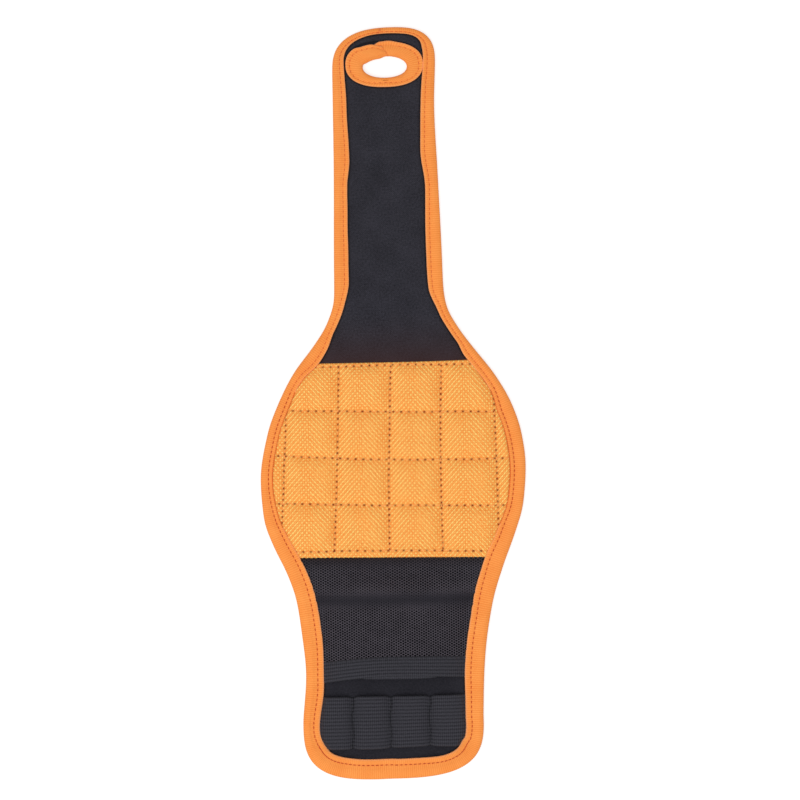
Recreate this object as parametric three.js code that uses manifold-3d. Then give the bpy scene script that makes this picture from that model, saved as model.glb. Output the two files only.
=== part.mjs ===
// Magnetic wristband, opened out and lying on its back.
// Millimetres, +Z up, +Y towards the strap's tip. The origin is on the back face, half way along.
import * as THREE from 'three';
import { mergeVertices } from 'three/addons/utils/BufferGeometryUtils.js';
import Module from 'manifold-3d';

const wasm = await Module();
wasm.setup();

// Lengths of the sections, from the tip to the lower end. The folds lie between them.
const strapTipLength = 52;
const strapMiddleLength = 47;
const strapRootLength = 56.2;
const quiltRowLengths = [22.8, 22.9, 21.4, 24.5];
const pocketSectionLength = 60.8;
const loopSectionLength = 42.4;
const foldGap = 0.3;

// Widths over the binding.
const strapTipWidth = 47.6;
const strapMiddleWidth = 46.8;
const strapRootWidth = 50.4;
const panelWidth = 123;
const waistWidth = 82.4;
const loopSectionWidth = 83.8;

// Heights. The back face is at zero.
const tapeThickness = 0.6;
const liningThickness = 1.6;
const faceThickness = 1;
const quiltCrown = 2.8;
const meshThickness = 0.6;
const elasticThickness = 1.1;

// Clearances.
const edgeClearance = 0.3;
const magnetClearance = 0.3;
const patchClearance = 0.3;

const liningTop = liningThickness;
const faceTop = liningTop + faceThickness;
const bindingHeight = faceTop + tapeThickness;
const quiltTop = faceTop + quiltCrown;

const sum = (values) => values.reduce((total, value) => total + value, 0);
const panelLength = sum(quiltRowLengths);
const strapLength = strapTipLength + strapMiddleLength + strapRootLength;
const bandLength = strapLength + panelLength + pocketSectionLength + loopSectionLength;

// Fold lines, from the tip down.
const tipY = bandLength / 2;
const tipFoldY = tipY - strapTipLength;
const middleFoldY = tipFoldY - strapMiddleLength;
const panelTopY = middleFoldY - strapRootLength;
const rowTopY = quiltRowLengths.map((length, row) => panelTopY - sum(quiltRowLengths.slice(0, row)));
const panelBottomY = panelTopY - panelLength;
const loopFoldY = panelBottomY - pocketSectionLength;
const endY = -tipY;

// A smooth curve through [place, value] stations that never swings past a station.
function stationCurve(stations) {
  const points = [...stations].sort((a, b) => a[0] - b[0]);
  const slopes = points.slice(1).map((point, i) => (point[1] - points[i][1]) / (point[0] - points[i][0]));
  const tangents = points.map((point, i) => {
    if (i === 0) {
      return slopes[0];
    }
    if (i === points.length - 1) {
      return slopes[i - 1];
    }
    const product = slopes[i - 1] * slopes[i];
    return product <= 0 ? 0 : (2 * product) / (slopes[i - 1] + slopes[i]);
  });
  return (place) => {
    const clamped = Math.min(Math.max(place, points[0][0]), points[points.length - 1][0]);
    const i = Math.max(0, points.findIndex((point) => point[0] >= clamped) - 1);
    const span = points[i + 1][0] - points[i][0];
    const t = (clamped - points[i][0]) / span;
    const startWeight = 2 * t ** 3 - 3 * t ** 2 + 1;
    const startTangentWeight = t ** 3 - 2 * t ** 2 + t;
    const endTangentWeight = t ** 3 - t ** 2;
    return startWeight * points[i][1] + (1 - startWeight) * points[i + 1][1]
      + span * (startTangentWeight * tangents[i] + endTangentWeight * tangents[i + 1]);
  };
}

// The outer edge: straight-sided strap, flaring neck, round-sided panel, waist and blunt lower end.
const neckLength = 35.9;
const waistRise = 6.6;
const widestPanelShare = 0.585;
const neckTopY = panelTopY + neckLength;
const widestY = panelTopY - widestPanelShare * panelLength;
const waistY = loopFoldY + waistRise;
const flareShares = [[0.094, 0.019], [0.219, 0.146], [0.344, 0.358], [0.469, 0.595],
  [0.593, 0.763], [0.718, 0.884], [0.875, 0.981]];
const taperShares = [[0.182, 0.069], [0.303, 0.241], [0.424, 0.458], [0.546, 0.69],
  [0.637, 0.793], [0.758, 0.897], [0.88, 0.955]];
const tipRoundLength = 15;
const endRoundLength = 19;
const endRoundPower = 2.5;

const between = (start, end, share) => start + (end - start) * share;
const halfWidthAt = stationCurve([
  [tipY - tipRoundLength, strapTipWidth / 2],
  [tipFoldY, strapMiddleWidth / 2],
  [neckTopY, strapRootWidth / 2],
  ...flareShares.map(([along, out]) => [between(neckTopY, widestY, along),
    between(strapRootWidth, panelWidth, out) / 2]),
  [widestY, panelWidth / 2],
  ...taperShares.map(([along, inward]) => [between(widestY, waistY, along),
    between(panelWidth, waistWidth, inward) / 2]),
  [waistY, waistWidth / 2],
  [endY + endRoundLength, loopSectionWidth / 2],
]);

// Visible width of the folded tape along the edge.
const tipBindingWidth = 2.8;
const ringBindingWidth = 5.5;
const strapBindingWidth = 7;
const panelBindingWidth = 5.1;
const pocketBindingWidth = 9.3;
const endBindingWidth = 8.7;
const wideTapeShare = 0.33;
const bindingWidthAt = stationCurve([
  [tipY, tipBindingWidth],
  [tipY - tipRoundLength, ringBindingWidth],
  [tipFoldY, strapBindingWidth],
  [neckTopY, strapBindingWidth],
  [panelTopY, panelBindingWidth],
  [rowTopY[3], panelBindingWidth],
  [between(panelBottomY, waistY, wideTapeShare), pocketBindingWidth],
  [endY, endBindingWidth],
]);

// The right half of the edge from the lower end's middle to the tip's middle, then the left half.
const endRoundSteps = 9;
const edgeStep = 6.5;
function roundedEnd(middleY, reach, halfWidth) {
  const points = [];
  for (let step = 0; step < endRoundSteps; step += 1) {
    const angle = (step / endRoundSteps) * (Math.PI / 2);
    points.push([halfWidth * Math.sin(angle) ** (2 / endRoundPower),
      middleY + reach * Math.cos(angle) ** (2 / endRoundPower)]);
  }
  return points;
}

function outerEdge() {
  const lowStart = endY + endRoundLength;
  const highStart = tipY - tipRoundLength;
  const steps = Math.round((highStart - lowStart) / edgeStep);
  const side = [];
  for (let step = 0; step <= steps; step += 1) {
    const y = between(lowStart, highStart, step / steps);
    side.push([halfWidthAt(y), y]);
  }
  const low = roundedEnd(lowStart, -endRoundLength, loopSectionWidth / 2);
  const high = roundedEnd(highStart, tipRoundLength, strapTipWidth / 2).reverse();
  const right = [...low, ...side, ...high];
  const left = right.slice(1, -1).reverse().map(([x, y]) => [-x, y]);
  return [...right, ...left];
}

// Adds to each point of a loop the direction square to it, on the left of the loop's run.
function withInward(loop) {
  return loop.map(([x, y], i) => {
    const before = loop[(i + loop.length - 1) % loop.length];
    const after = loop[(i + 1) % loop.length];
    const along = new THREE.Vector2(after[0] - before[0], after[1] - before[1]).normalize();
    return { x, y, inward: new THREE.Vector2(-along.y, along.x) };
  });
}

const edge = withInward(outerEdge());
const insetLoop = (insetAt) => edge.map((point) => {
  const inset = insetAt(point.y);
  return new THREE.Vector2(point.x + point.inward.x * inset, point.y + point.inward.y * inset);
});

// Fabric stops short of the tape's fold; what lies above the tape's lip stops at the tape's inner edge.
const foldInset = tapeThickness + edgeClearance;
const fabricLoop = insetLoop(() => foldInset);
const innerLoop = insetLoop((y) => bindingWidthAt(y) + edgeClearance);

// Half the width inside the tape, at a height along the band.
const rightInner = innerLoop.slice(0, edge.findIndex((point) => point.y >= tipY) + 1);
const innerHalfAt = (y) => {
  const i = Math.max(1, rightInner.findIndex((point) => point.y >= y));
  const low = rightInner[i - 1];
  const high = rightInner[i];
  return between(low.x, high.x, (y - low.y) / (high.y - low.y));
};

// Solids from three.js geometry and back.
const weldDistance = 1e-5;
function solidOf(geometry) {
  const bare = geometry.clone();
  bare.deleteAttribute('normal');
  bare.deleteAttribute('uv');
  const merged = mergeVertices(bare, weldDistance);
  return new wasm.Manifold(new wasm.Mesh({
    numProp: 3,
    vertProperties: new Float32Array(merged.attributes.position.array),
    triVerts: new Uint32Array(merged.index.array),
  }));
}

function geometryOf(solid) {
  const mesh = solid.getMesh();
  const geometry = new THREE.BufferGeometry();
  geometry.setAttribute('position', new THREE.BufferAttribute(mesh.vertProperties, 3));
  geometry.setIndex(new THREE.BufferAttribute(mesh.triVerts, 1));
  geometry.computeVertexNormals();
  return geometry;
}

function plate(loop, low, high) {
  const settings = { depth: high - low, bevelEnabled: false };
  const geometry = new THREE.ExtrudeGeometry(new THREE.Shape(loop), settings);
  geometry.translate(0, 0, low);
  return solidOf(geometry);
}

// A closed skin from rows of points. Each row closes on itself; the last row joins the first when looped.
function skin(rows, looped) {
  const count = rows[0].length;
  const positions = rows.flat(2);
  const index = [];
  const last = looped ? rows.length : rows.length - 1;
  for (let r = 0; r < last; r += 1) {
    const next = (r + 1) % rows.length;
    for (let c = 0; c < count; c += 1) {
      const side = (c + 1) % count;
      index.push(r * count + c, next * count + c, next * count + side);
      index.push(r * count + c, next * count + side, r * count + side);
    }
  }
  if (!looped) {
    // Each end row is a low run followed by a high run going back, so its cap is a strip of quads.
    const half = count / 2;
    const end = (rows.length - 1) * count;
    for (let c = 0; c < half - 1; c += 1) {
      const back = count - 1 - c;
      index.push(c, c + 1, back, c + 1, back - 1, back);
      index.push(end + c, end + back, end + c + 1, end + c + 1, end + back, end + back - 1);
    }
  }
  const geometry = new THREE.BufferGeometry();
  geometry.setAttribute('position', new THREE.Float32BufferAttribute(positions, 3));
  geometry.setIndex(index);
  return solidOf(geometry);
}

// A sheet between a low and a high surface, over stations along the band and places across it.
// pointAt gives { x, low, high } for a place along and a place across.
function sheet(stations, places, pointAt) {
  const rows = stations.map((y) => {
    const points = places.map((place) => pointAt(y, place));
    const low = points.map((point) => [point.x, y, point.low]);
    const high = points.map((point) => [point.x, y, point.high]).reverse();
    return [...low, ...high];
  });
  return skin(rows, false);
}

// Binding tape folded over an edge: a flat C with a rolled fold, carried round a closed loop.
const tapeRoll = 0.8;
const rollShare = 1 - Math.SQRT1_2;
function foldedTape(loop, widthAt) {
  const rows = loop.map((point) => {
    const width = widthAt(point);
    const section = [
      [width, 0],
      [tapeRoll, 0],
      [rollShare * tapeRoll, rollShare * tapeRoll],
      [0, tapeRoll],
      [0, bindingHeight - tapeRoll],
      [rollShare * tapeRoll, bindingHeight - rollShare * tapeRoll],
      [tapeRoll, bindingHeight],
      [width, bindingHeight],
      [width, faceTop],
      [tapeThickness, faceTop],
      [tapeThickness, tapeThickness],
      [width, tapeThickness],
    ];
    return section.map(([inset, z]) => [
      point.x + point.inward.x * inset,
      point.y + point.inward.y * inset,
      z,
    ]);
  });
  return skin(rows, true);
}

// The thumb hole: a flat oval, with wider tape at its sides and top than below it.
const thumbHoleHeight = 10.2;
const ringSideWidth = 7;
const ringTopWidth = 6.6;
const ringLowWidth = 4.4;
const ringSideGap = 0.8;
const ringTopGap = 3.6;
const ringSteps = 28;
const thumbHoleWidth = strapTipWidth - 2 * (ringBindingWidth + ringSideGap + ringSideWidth);
const thumbHoleY = tipY - tipBindingWidth - ringTopGap - ringTopWidth - thumbHoleHeight / 2;
function ovalLoop() {
  const signedPower = (value) => Math.sign(value) * Math.abs(value) ** (2 / endRoundPower);
  const loop = [];
  for (let step = 0; step < ringSteps; step += 1) {
    const angle = (step / ringSteps) * 2 * Math.PI;
    loop.push([(thumbHoleWidth / 2) * signedPower(Math.cos(angle)),
      thumbHoleY + (thumbHoleHeight / 2) * signedPower(Math.sin(angle))]);
  }
  return loop;
}
const holeEdge = withInward(ovalLoop().reverse());
const ringWidthAt = (point) => {
  const endShare = point.inward.y ** 2;
  return between(ringSideWidth, point.inward.y > 0 ? ringTopWidth : ringLowWidth, endShare);
};
const ringLoop = (grow) => holeEdge.map((point) => {
  const reach = ringWidthAt(point) + grow;
  return new THREE.Vector2(point.x + point.inward.x * reach, point.y + point.inward.y * reach);
});
const fabricHoleLoop = holeEdge.map((point) => new THREE.Vector2(
  point.x + point.inward.x * foldInset, point.y + point.inward.y * foldInset));

// Cuts. Every cutter runs past the piece by the overrun.
const overrun = 5;
const cutReach = panelWidth / 2 + overrun;
const cutHeight = quiltTop + overrun;
function slab(lowY, highY, lowX = -cutReach, highX = cutReach) {
  const geometry = new THREE.BoxGeometry(highX - lowX, highY - lowY, 2 * cutHeight);
  geometry.translate((lowX + highX) / 2, (lowY + highY) / 2, 0);
  return solidOf(geometry);
}

// Magnets, one in each main cell. The two upper corner cells are cut short by the edge.
const columnSeamShares = [-0.829, -0.436, -0.034, 0.353, 0.792];
const columnSeamsX = columnSeamShares.map((share) => (share * panelWidth) / 2);
const topSeamInset = 1.9;
const bottomSeamInset = 2.6;
const rowSeamsY = [panelTopY - topSeamInset, ...rowTopY.slice(1), panelBottomY + bottomSeamInset];
const magnetDiameter = 15;
const cornerMagnetDiameter = 11;
const magnetThickness = 1.6;
const magnetSides = 20;
const cornerInsetShare = 0.137;
const cornerRiseShare = 0.364;
const cornerMagnetInset = (cornerInsetShare * panelWidth) / 2;
const cornerMagnetRise = cornerRiseShare * (rowSeamsY[0] - rowSeamsY[1]);
function magnetPlace(row, column) {
  const corner = row === 0 && (column === 0 || column === 3);
  const middleX = (columnSeamsX[column] + columnSeamsX[column + 1]) / 2;
  const middleY = (rowSeamsY[row] + rowSeamsY[row + 1]) / 2;
  if (!corner) {
    return { x: middleX, y: middleY, radius: magnetDiameter / 2 };
  }
  const x = column === 0 ? columnSeamsX[1] - cornerMagnetInset : columnSeamsX[3] + cornerMagnetInset;
  return { x, y: rowSeamsY[1] + cornerMagnetRise, radius: cornerMagnetDiameter / 2 };
}

function disc(place, grow, low, high) {
  const radius = place.radius + grow;
  const geometry = new THREE.CylinderGeometry(radius, radius, high - low, magnetSides);
  geometry.rotateX(Math.PI / 2);
  geometry.translate(place.x, place.y, (low + high) / 2);
  return geometry;
}

// Quilted face: each cell rises from its seams to a flat crown over its magnet.
const seamHalfWidth = 0.7;
const magnetRiseShare = 0.39;
const cellSizes = [columnSeamsX, rowSeamsY].flatMap((seams) => (
  seams.slice(1).map((seam, i) => Math.abs(seam - seams[i]))));
const besideMagnet = (Math.min(...cellSizes) - magnetDiameter) / 2 - magnetClearance - seamHalfWidth;
const cellRise = besideMagnet / magnetRiseShare;
const edgeRise = 4;
const riseShares = [0.45];
const risePower = 1.4;
const smooth = (share) => {
  const clamped = Math.min(Math.max(share, 0), 1);
  return Math.sin((clamped * Math.PI) / 2) ** risePower;
};

// Places across a run of cells: both sides of each seam, the shoulders and the crown's ends.
function cellPlaces(seams) {
  const offsets = [seamHalfWidth, ...riseShares.map((share) => seamHalfWidth + share * cellRise),
    seamHalfWidth + cellRise];
  const places = [];
  seams.slice(0, -1).forEach((seam, i) => {
    const next = seams[i + 1];
    places.push(...offsets.map((offset) => seam + offset));
    places.push(...offsets.map((offset) => next - offset).reverse());
  });
  return places;
}

const quiltHeightAt = (x, y) => {
  const fromSeam = (value, seams) => Math.min(...seams.map((seam) => Math.abs(value - seam)));
  const across = smooth((fromSeam(x, columnSeamsX) - seamHalfWidth) / cellRise);
  const along = smooth((fromSeam(y, rowSeamsY) - seamHalfWidth) / cellRise);
  const fromEdge = smooth((innerHalfAt(y) - Math.abs(x)) / edgeRise);
  return quiltCrown * across * along * fromEdge;
};

function quiltRow(row) {
  const top = rowTopY[row];
  const bottom = top - quiltRowLengths[row];
  const sliverX = panelWidth / 2;
  const across = [-sliverX, ...cellPlaces(columnSeamsX), sliverX];
  const along = [bottom, ...cellPlaces([rowSeamsY[row + 1], rowSeamsY[row]]), top];
  return sheet(along, across, (y, x) => ({ x, low: liningTop, high: faceTop + quiltHeightAt(x, y) }));
}

// Pocket front: flat where it is sewn down, bulged between, with its mouth towards the loops.
const pocketBulge = 6.2;
const pocketHemWidth = 12;
const hemTurn = 0.8;
const pocketMouthRise = 3.2;
const pocketSeam = 3;
const pocketRise = 14;
const pocketMouthY = loopFoldY + pocketMouthRise;
const pocketAcrossShares = [-1, -0.93, -0.84, -0.7, -0.5, -0.25, 0, 0.25, 0.5, 0.7, 0.84, 0.93, 1];
const pocketFlatShare = 0.93;
const pocketPower = 4;
const pocketRiseShares = [0, 0.15, 0.35, 0.6, 1];
const pocketHalfAt = (y) => innerHalfAt(y) - edgeClearance;
const pocketBulgeAt = (y, share) => {
  const along = smooth((panelBottomY - pocketSeam - y) / pocketRise);
  const across = Math.max(0, 1 - Math.abs(share / pocketFlatShare) ** pocketPower);
  return pocketBulge * along * across;
};

function pocketSheet(stations, below, above) {
  return sheet(stations, pocketAcrossShares, (y, share) => {
    const rise = faceTop + pocketBulgeAt(y, share);
    return {
      x: share * pocketHalfAt(y),
      low: Math.max(faceTop, rise - below),
      high: rise + meshThickness + above(y),
    };
  });
}

function meshPocket() {
  const top = panelBottomY - foldGap / 2;
  const seamEnd = panelBottomY - pocketSeam;
  const bottom = pocketMouthY + hemTurn + edgeClearance;
  const stations = [bottom, pocketMouthY + pocketHemWidth,
    ...pocketRiseShares.map((share) => seamEnd - share * pocketRise).reverse(), top];
  return pocketSheet(stations, 0, () => 0);
}

// Ribbed elastic folded over the mesh's lower edge.
const hemRibs = 5;
const hemRibDepth = 0.35;
const ribShares = [0.25, 0.75];
function pocketHem() {
  const ribPitch = pocketHemWidth / hemRibs;
  const stations = [pocketMouthY];
  for (let rib = 0; rib < hemRibs; rib += 1) {
    const start = pocketMouthY + rib * ribPitch;
    stations.push(...ribShares.map((share) => start + share * ribPitch), start + ribPitch);
  }
  const ribAt = (y) => hemRibDepth * Math.abs(Math.sin(((y - pocketMouthY) / ribPitch) * Math.PI));
  const turned = pocketSheet(stations, hemTurn, (y) => hemTurn + ribAt(y));
  const inside = [pocketMouthY + hemTurn, pocketMouthY + pocketHemWidth + overrun];
  const space = sheet(inside, pocketAcrossShares, (y, share) => {
    const rise = faceTop + pocketBulgeAt(y, share);
    const past = Math.abs(share) === 1 ? overrun * share : 0;
    return {
      x: share * pocketHalfAt(y) + past,
      low: rise - edgeClearance,
      high: rise + meshThickness + edgeClearance,
    };
  });
  return turned.subtract(space);
}

// Tool loops: one elastic band sewn down at its ends and in three places between.
const loopBandRise = 14.1;
const loopBandGap = 4.5;
const loopSeamShares = [-0.461, -0.029, 0.406];
const loopSeamsX = loopSeamShares.map((share) => (share * loopSectionWidth) / 2);
const loopRise = 5.4;
const loopSeamHalfWidth = 0.8;
const loopPower = 4;
const archShares = [0, 0.08, 0.2, 0.36, 0.5, 0.64, 0.8, 0.92, 1];
const loopBandLowY = endY + loopBandRise;
const loopBandTopY = loopFoldY - loopBandGap;
function loopBand() {
  // The two outer loops run straight, and the band lies flat from their feet to the tape.
  const endHalf = Math.min(pocketHalfAt(loopBandLowY), pocketHalfAt(loopBandTopY));
  const bounds = [-endHalf, ...loopSeamsX, endHalf];
  const places = [{ side: -1 }];
  for (let loop = 0; loop < bounds.length - 1; loop += 1) {
    places.push(...archShares.map((share) => ({ loop, share })));
    if (loop < loopSeamsX.length) {
      places.push({ seamX: loopSeamsX[loop] });
    }
  }
  places.push({ side: 1 });
  return sheet([loopBandLowY, loopBandTopY], places, (y, place) => {
    if (place.share === undefined) {
      const x = place.side ? place.side * pocketHalfAt(y) : place.seamX;
      return { x, low: faceTop, high: faceTop + elasticThickness };
    }
    const low = bounds[place.loop] + loopSeamHalfWidth;
    const high = bounds[place.loop + 1] - loopSeamHalfWidth;
    const x = between(low, high, place.share);
    const rise = faceTop + loopRise * (1 - Math.abs(2 * place.share - 1) ** loopPower);
    return { x, low: rise, high: rise + elasticThickness };
  });
}

// Hook patch, sunk in the back lining of the lower end.
const patchSideInset = 13.9;
const patchLowInset = 0.5;
const patchThickness = 1;
const patchWidth = loopSectionWidth - 2 * patchSideInset;
const patchHeight = loopBandTopY - loopBandLowY - 2 * patchLowInset;
const patchCorner = 3;
const patchCornerSteps = 3;
const patchY = (loopBandLowY + loopBandTopY) / 2;
function patchLoop(grow) {
  const shape = new THREE.Shape();
  const halfX = patchWidth / 2 + grow;
  const halfY = patchHeight / 2 + grow;
  const radius = patchCorner + grow;
  shape.moveTo(-halfX + radius, patchY - halfY);
  shape.lineTo(halfX - radius, patchY - halfY);
  shape.absarc(halfX - radius, patchY - halfY + radius, radius, -Math.PI / 2, 0);
  shape.absarc(halfX - radius, patchY + halfY - radius, radius, 0, Math.PI / 2);
  shape.absarc(-halfX + radius, patchY + halfY - radius, radius, Math.PI / 2, Math.PI);
  shape.absarc(-halfX + radius, patchY - halfY + radius, radius, Math.PI, 1.5 * Math.PI);
  return shape.getPoints(patchCornerSteps).slice(0, -1);
}

// Whole pieces of cloth and tape, before they are parted at the folds.
const thumbHole = plate(fabricHoleLoop, -overrun, cutHeight);
const lining = plate(innerLoop, 0, liningTop)
  .subtract(plate(ringLoop(edgeClearance), -overrun, tapeThickness))
  .add(plate(fabricLoop, tapeThickness, liningTop))
  .subtract(thumbHole)
  .subtract(plate(patchLoop(patchClearance), -overrun, patchThickness));
const faceCloth = plate(fabricLoop, liningTop, faceTop).subtract(thumbHole);
const edgeBinding = foldedTape(edge, (point) => bindingWidthAt(point.y));
const insideTape = plate(innerLoop, liningTop, cutHeight);
const fabricPrism = plate(fabricLoop, liningTop, faceTop);

function quiltFace(row) {
  let face = quiltRow(row).intersect(insideTape.add(fabricPrism));
  for (let column = 0; column < columnSeamsX.length - 1; column += 1) {
    const pocket = disc(magnetPlace(row, column), magnetClearance, liningTop - overrun,
      liningTop + magnetThickness + magnetClearance);
    face = face.subtract(solidOf(pocket));
  }
  return face;
}

// Cloths and finishes.
const finish = (color, roughness, metalness = 0) => (
  new THREE.MeshStandardMaterial({ color, roughness, metalness }));
const finishes = {
  binding: finish(0xf8984f, 0.75),
  quilt: finish(0xf8ad5c, 0.7),
  strap: finish(0x2d2c32, 0.95),
  base: finish(0x28282e, 0.9),
  mesh: finish(0x322f34, 0.85),
  elastic: finish(0x35353b, 0.85),
  lining: finish(0x232327, 0.95),
  magnet: finish(0xb9bbbd, 0.3, 1),
  hook: finish(0x1d1d20, 0.8),
};

const wristband = new THREE.Group();
function addPiece(name, geometry, material) {
  const mesh = new THREE.Mesh(geometry, finishes[material].clone());
  mesh.name = name;
  wristband.add(mesh);
}

function addCut(name, solid, cutter, material) {
  addPiece(name, geometryOf(solid.intersect(cutter)), material);
}

// Sections from the tip down. An end section's tape goes round the end in one piece.
const sections = [
  { name: 'strap_tip', top: tipY, bottom: tipFoldY, face: 'strap', end: 'top' },
  { name: 'strap_middle', top: tipFoldY, bottom: middleFoldY, face: 'strap' },
  { name: 'strap_root', top: middleFoldY, bottom: panelTopY, face: 'strap' },
  ...quiltRowLengths.map((length, row) => ({ name: `panel_row_${row + 1}`, top: rowTopY[row],
    bottom: rowTopY[row] - length, row })),
  { name: 'pocket', top: panelBottomY, bottom: loopFoldY, face: 'base' },
  { name: 'loop_end', top: loopFoldY, bottom: endY, face: 'base', end: 'bottom' },
];

sections.forEach((section) => {
  const low = section.end === 'bottom' ? section.bottom - overrun : section.bottom + foldGap / 2;
  const high = section.end === 'top' ? section.top + overrun : section.top - foldGap / 2;
  const whole = slab(low, high);
  addCut(`${section.name}_lining`, lining, whole, 'lining');
  if (section.face) {
    addCut(`${section.name}_face`, faceCloth, whole, section.face);
  } else {
    addCut(`${section.name}_quilt`, quiltFace(section.row), whole, 'quilt');
  }
  if (section.end) {
    addCut(`${section.name}_binding`, edgeBinding, whole, 'binding');
  } else {
    addCut(`${section.name}_binding_left`, edgeBinding, slab(low, high, -cutReach, 0), 'binding');
    addCut(`${section.name}_binding_right`, edgeBinding, slab(low, high, 0, cutReach), 'binding');
  }
});

addPiece('thumb_hole_binding', geometryOf(foldedTape(holeEdge, ringWidthAt)), 'binding');

quiltRowLengths.forEach((length, row) => {
  for (let column = 0; column < columnSeamsX.length - 1; column += 1) {
    const magnet = disc(magnetPlace(row, column), 0, liningTop, liningTop + magnetThickness);
    addPiece(`magnet_${row + 1}_${column + 1}`, magnet, 'magnet');
  }
});

addPiece('mesh_pocket', geometryOf(meshPocket().intersect(insideTape)), 'mesh');
addPiece('pocket_hem', geometryOf(pocketHem().intersect(insideTape)), 'elastic');
addPiece('tool_loops', geometryOf(loopBand().intersect(insideTape)), 'elastic');
addPiece('hook_patch', geometryOf(plate(patchLoop(0), 0, patchThickness)), 'hook');

export default wristband;
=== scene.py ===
import math

import bpy
import numpy as np
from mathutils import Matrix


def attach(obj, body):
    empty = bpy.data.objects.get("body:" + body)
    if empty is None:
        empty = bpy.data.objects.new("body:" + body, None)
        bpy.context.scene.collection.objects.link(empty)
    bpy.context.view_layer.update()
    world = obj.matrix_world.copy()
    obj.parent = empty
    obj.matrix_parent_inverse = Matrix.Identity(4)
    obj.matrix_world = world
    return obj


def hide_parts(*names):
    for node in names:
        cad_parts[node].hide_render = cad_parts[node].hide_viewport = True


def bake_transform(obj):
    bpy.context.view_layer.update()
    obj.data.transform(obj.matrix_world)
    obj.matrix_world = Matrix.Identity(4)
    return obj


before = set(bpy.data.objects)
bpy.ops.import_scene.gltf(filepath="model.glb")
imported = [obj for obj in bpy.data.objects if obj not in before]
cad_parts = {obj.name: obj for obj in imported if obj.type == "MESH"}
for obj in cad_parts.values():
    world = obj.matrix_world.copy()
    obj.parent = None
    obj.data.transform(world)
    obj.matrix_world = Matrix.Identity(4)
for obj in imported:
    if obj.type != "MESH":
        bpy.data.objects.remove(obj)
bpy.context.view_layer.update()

turn = 2 * math.pi

# Lengths below are millimetres, +x right and +y towards the strap's tip; meshes are made in metres.
# Each span of cloth and tape lies between two cuts, over one fold. It has the two bodies
# that the fold joins, and the stretch of y over which a bend would be spread; nothing here bends it.
cuts = [200.0, 100.5, 42.0, 8.4, -14.45, -36.6, -59.5, -105.0, -200.0]
bodies = ["strap_tip", "strap_middle", "strap_root", "panel_row_1", "panel_row_2", "panel_row_3",
          "panel_row_4", "pocket_section", "loop_section"]
bends = [(141.0, 105.0), (96.0, 56.0), (29.3, 10.3), (6.5, -12.5), (-16.4, -35.4), (-37.8, -56.8),
         (-62.3, -81.3), (-129.2, -136.0)]
spans = [{"top": top, "bottom": bottom, "bodies": pair, "bend": bend}
         for top, bottom, pair, bend in zip(cuts, cuts[1:], zip(bodies, bodies[1:]), bends)]
heights = {"lining": 1.6, "face": 2.6, "tape": 3.2}
# y where the cloth round the thumb hole begins, the strap's face ends, the base cloth begins and ends
limits = {"ring": 144.0, "face": 19.0, "base": -71.2, "end": -170.5}


def smooth(t):
    # 0 below 0, 1 above 1 and 3t^2 - 2t^3 between
    t = np.clip(t, 0, 1)
    return t * t * (3 - 2 * t)


def ripple(x, y, pitch, seed, count=6):
    # a sum of sine waves in seeded directions and lengths near the pitch, about -1 to 1
    chance = np.random.default_rng(seed)
    total = 0.0
    for angle, phase, stretch in chance.uniform((0, 0, 0.7), (turn, turn, 1.7), (count, 3)):
        across = x * math.cos(angle) + y * math.sin(angle)
        total = total + np.sin(across * turn / (pitch * stretch) + phase)
    return total / math.sqrt(2 * count)


def bell(distance, reach):
    return np.exp(-(distance / reach) ** 2)


def colour(red, green, blue):
    # a screen colour of 0 to 255 as the linear value that a shader takes
    share = np.array([red, green, blue]) / 255
    linear = np.where(share <= 0.04045, share / 12.92, ((share + 0.055) / 1.055) ** 2.4)
    return (*linear.tolist(), 1.0)


def meshObject(name, points, quads, caps=(), uv=None, shades=None, uvQuads=None):
    # A mesh from points in mm and faces of four, with flat caps. Faces turn outwards by the sign of
    # the volume, the sum over triangles of a . (b x c). uvQuads picks other uv rows for the corners.
    def volume(a, b, c):
        return np.einsum("ij,ij->", points[a], np.cross(points[b], points[c]))

    total = volume(quads[:, 0], quads[:, 1], quads[:, 2]) + volume(quads[:, 0], quads[:, 2], quads[:, 3])
    for cap in caps:
        cap = np.array(cap)
        total += volume(np.full(len(cap) - 2, cap[0]), cap[1:-1], cap[2:])
    step = 1 if total > 0 else -1
    faces = quads[:, ::step].tolist() + [list(cap)[::step] for cap in caps]
    mesh = bpy.data.meshes.new(name)
    mesh.from_pydata((points * 0.001).tolist(), [], faces)
    mesh.polygons.foreach_set("use_smooth", [True] * len(quads) + [False] * len(caps))
    if uv is not None:
        uvQuads = quads if uvQuads is None else uvQuads
        corner = np.concatenate([uvQuads[:, ::step].ravel(), *[np.array(cap)[::step] for cap in caps]])
        mesh.uv_layers.new(name="cloth").data.foreach_set("uv", uv[corner].astype(np.float32).ravel())
    if shades is not None:
        mesh.attributes.new("shade", "FLOAT", "POINT").data.foreach_set("value", shades.astype(np.float32))
    mesh.update()
    piece = bpy.data.objects.new(name, mesh)
    bpy.context.scene.collection.objects.link(piece)
    return piece


def unit(rows):
    return rows / np.linalg.norm(rows, axis=1)[:, None]


def tubeFaces(index):
    # faces of four between rows of point numbers, each row closed on itself
    here, ahead = index[:-1], index[1:]
    return np.stack([here, np.roll(here, -1, 1), np.roll(ahead, -1, 1), ahead], -1).reshape(-1, 4)


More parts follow.
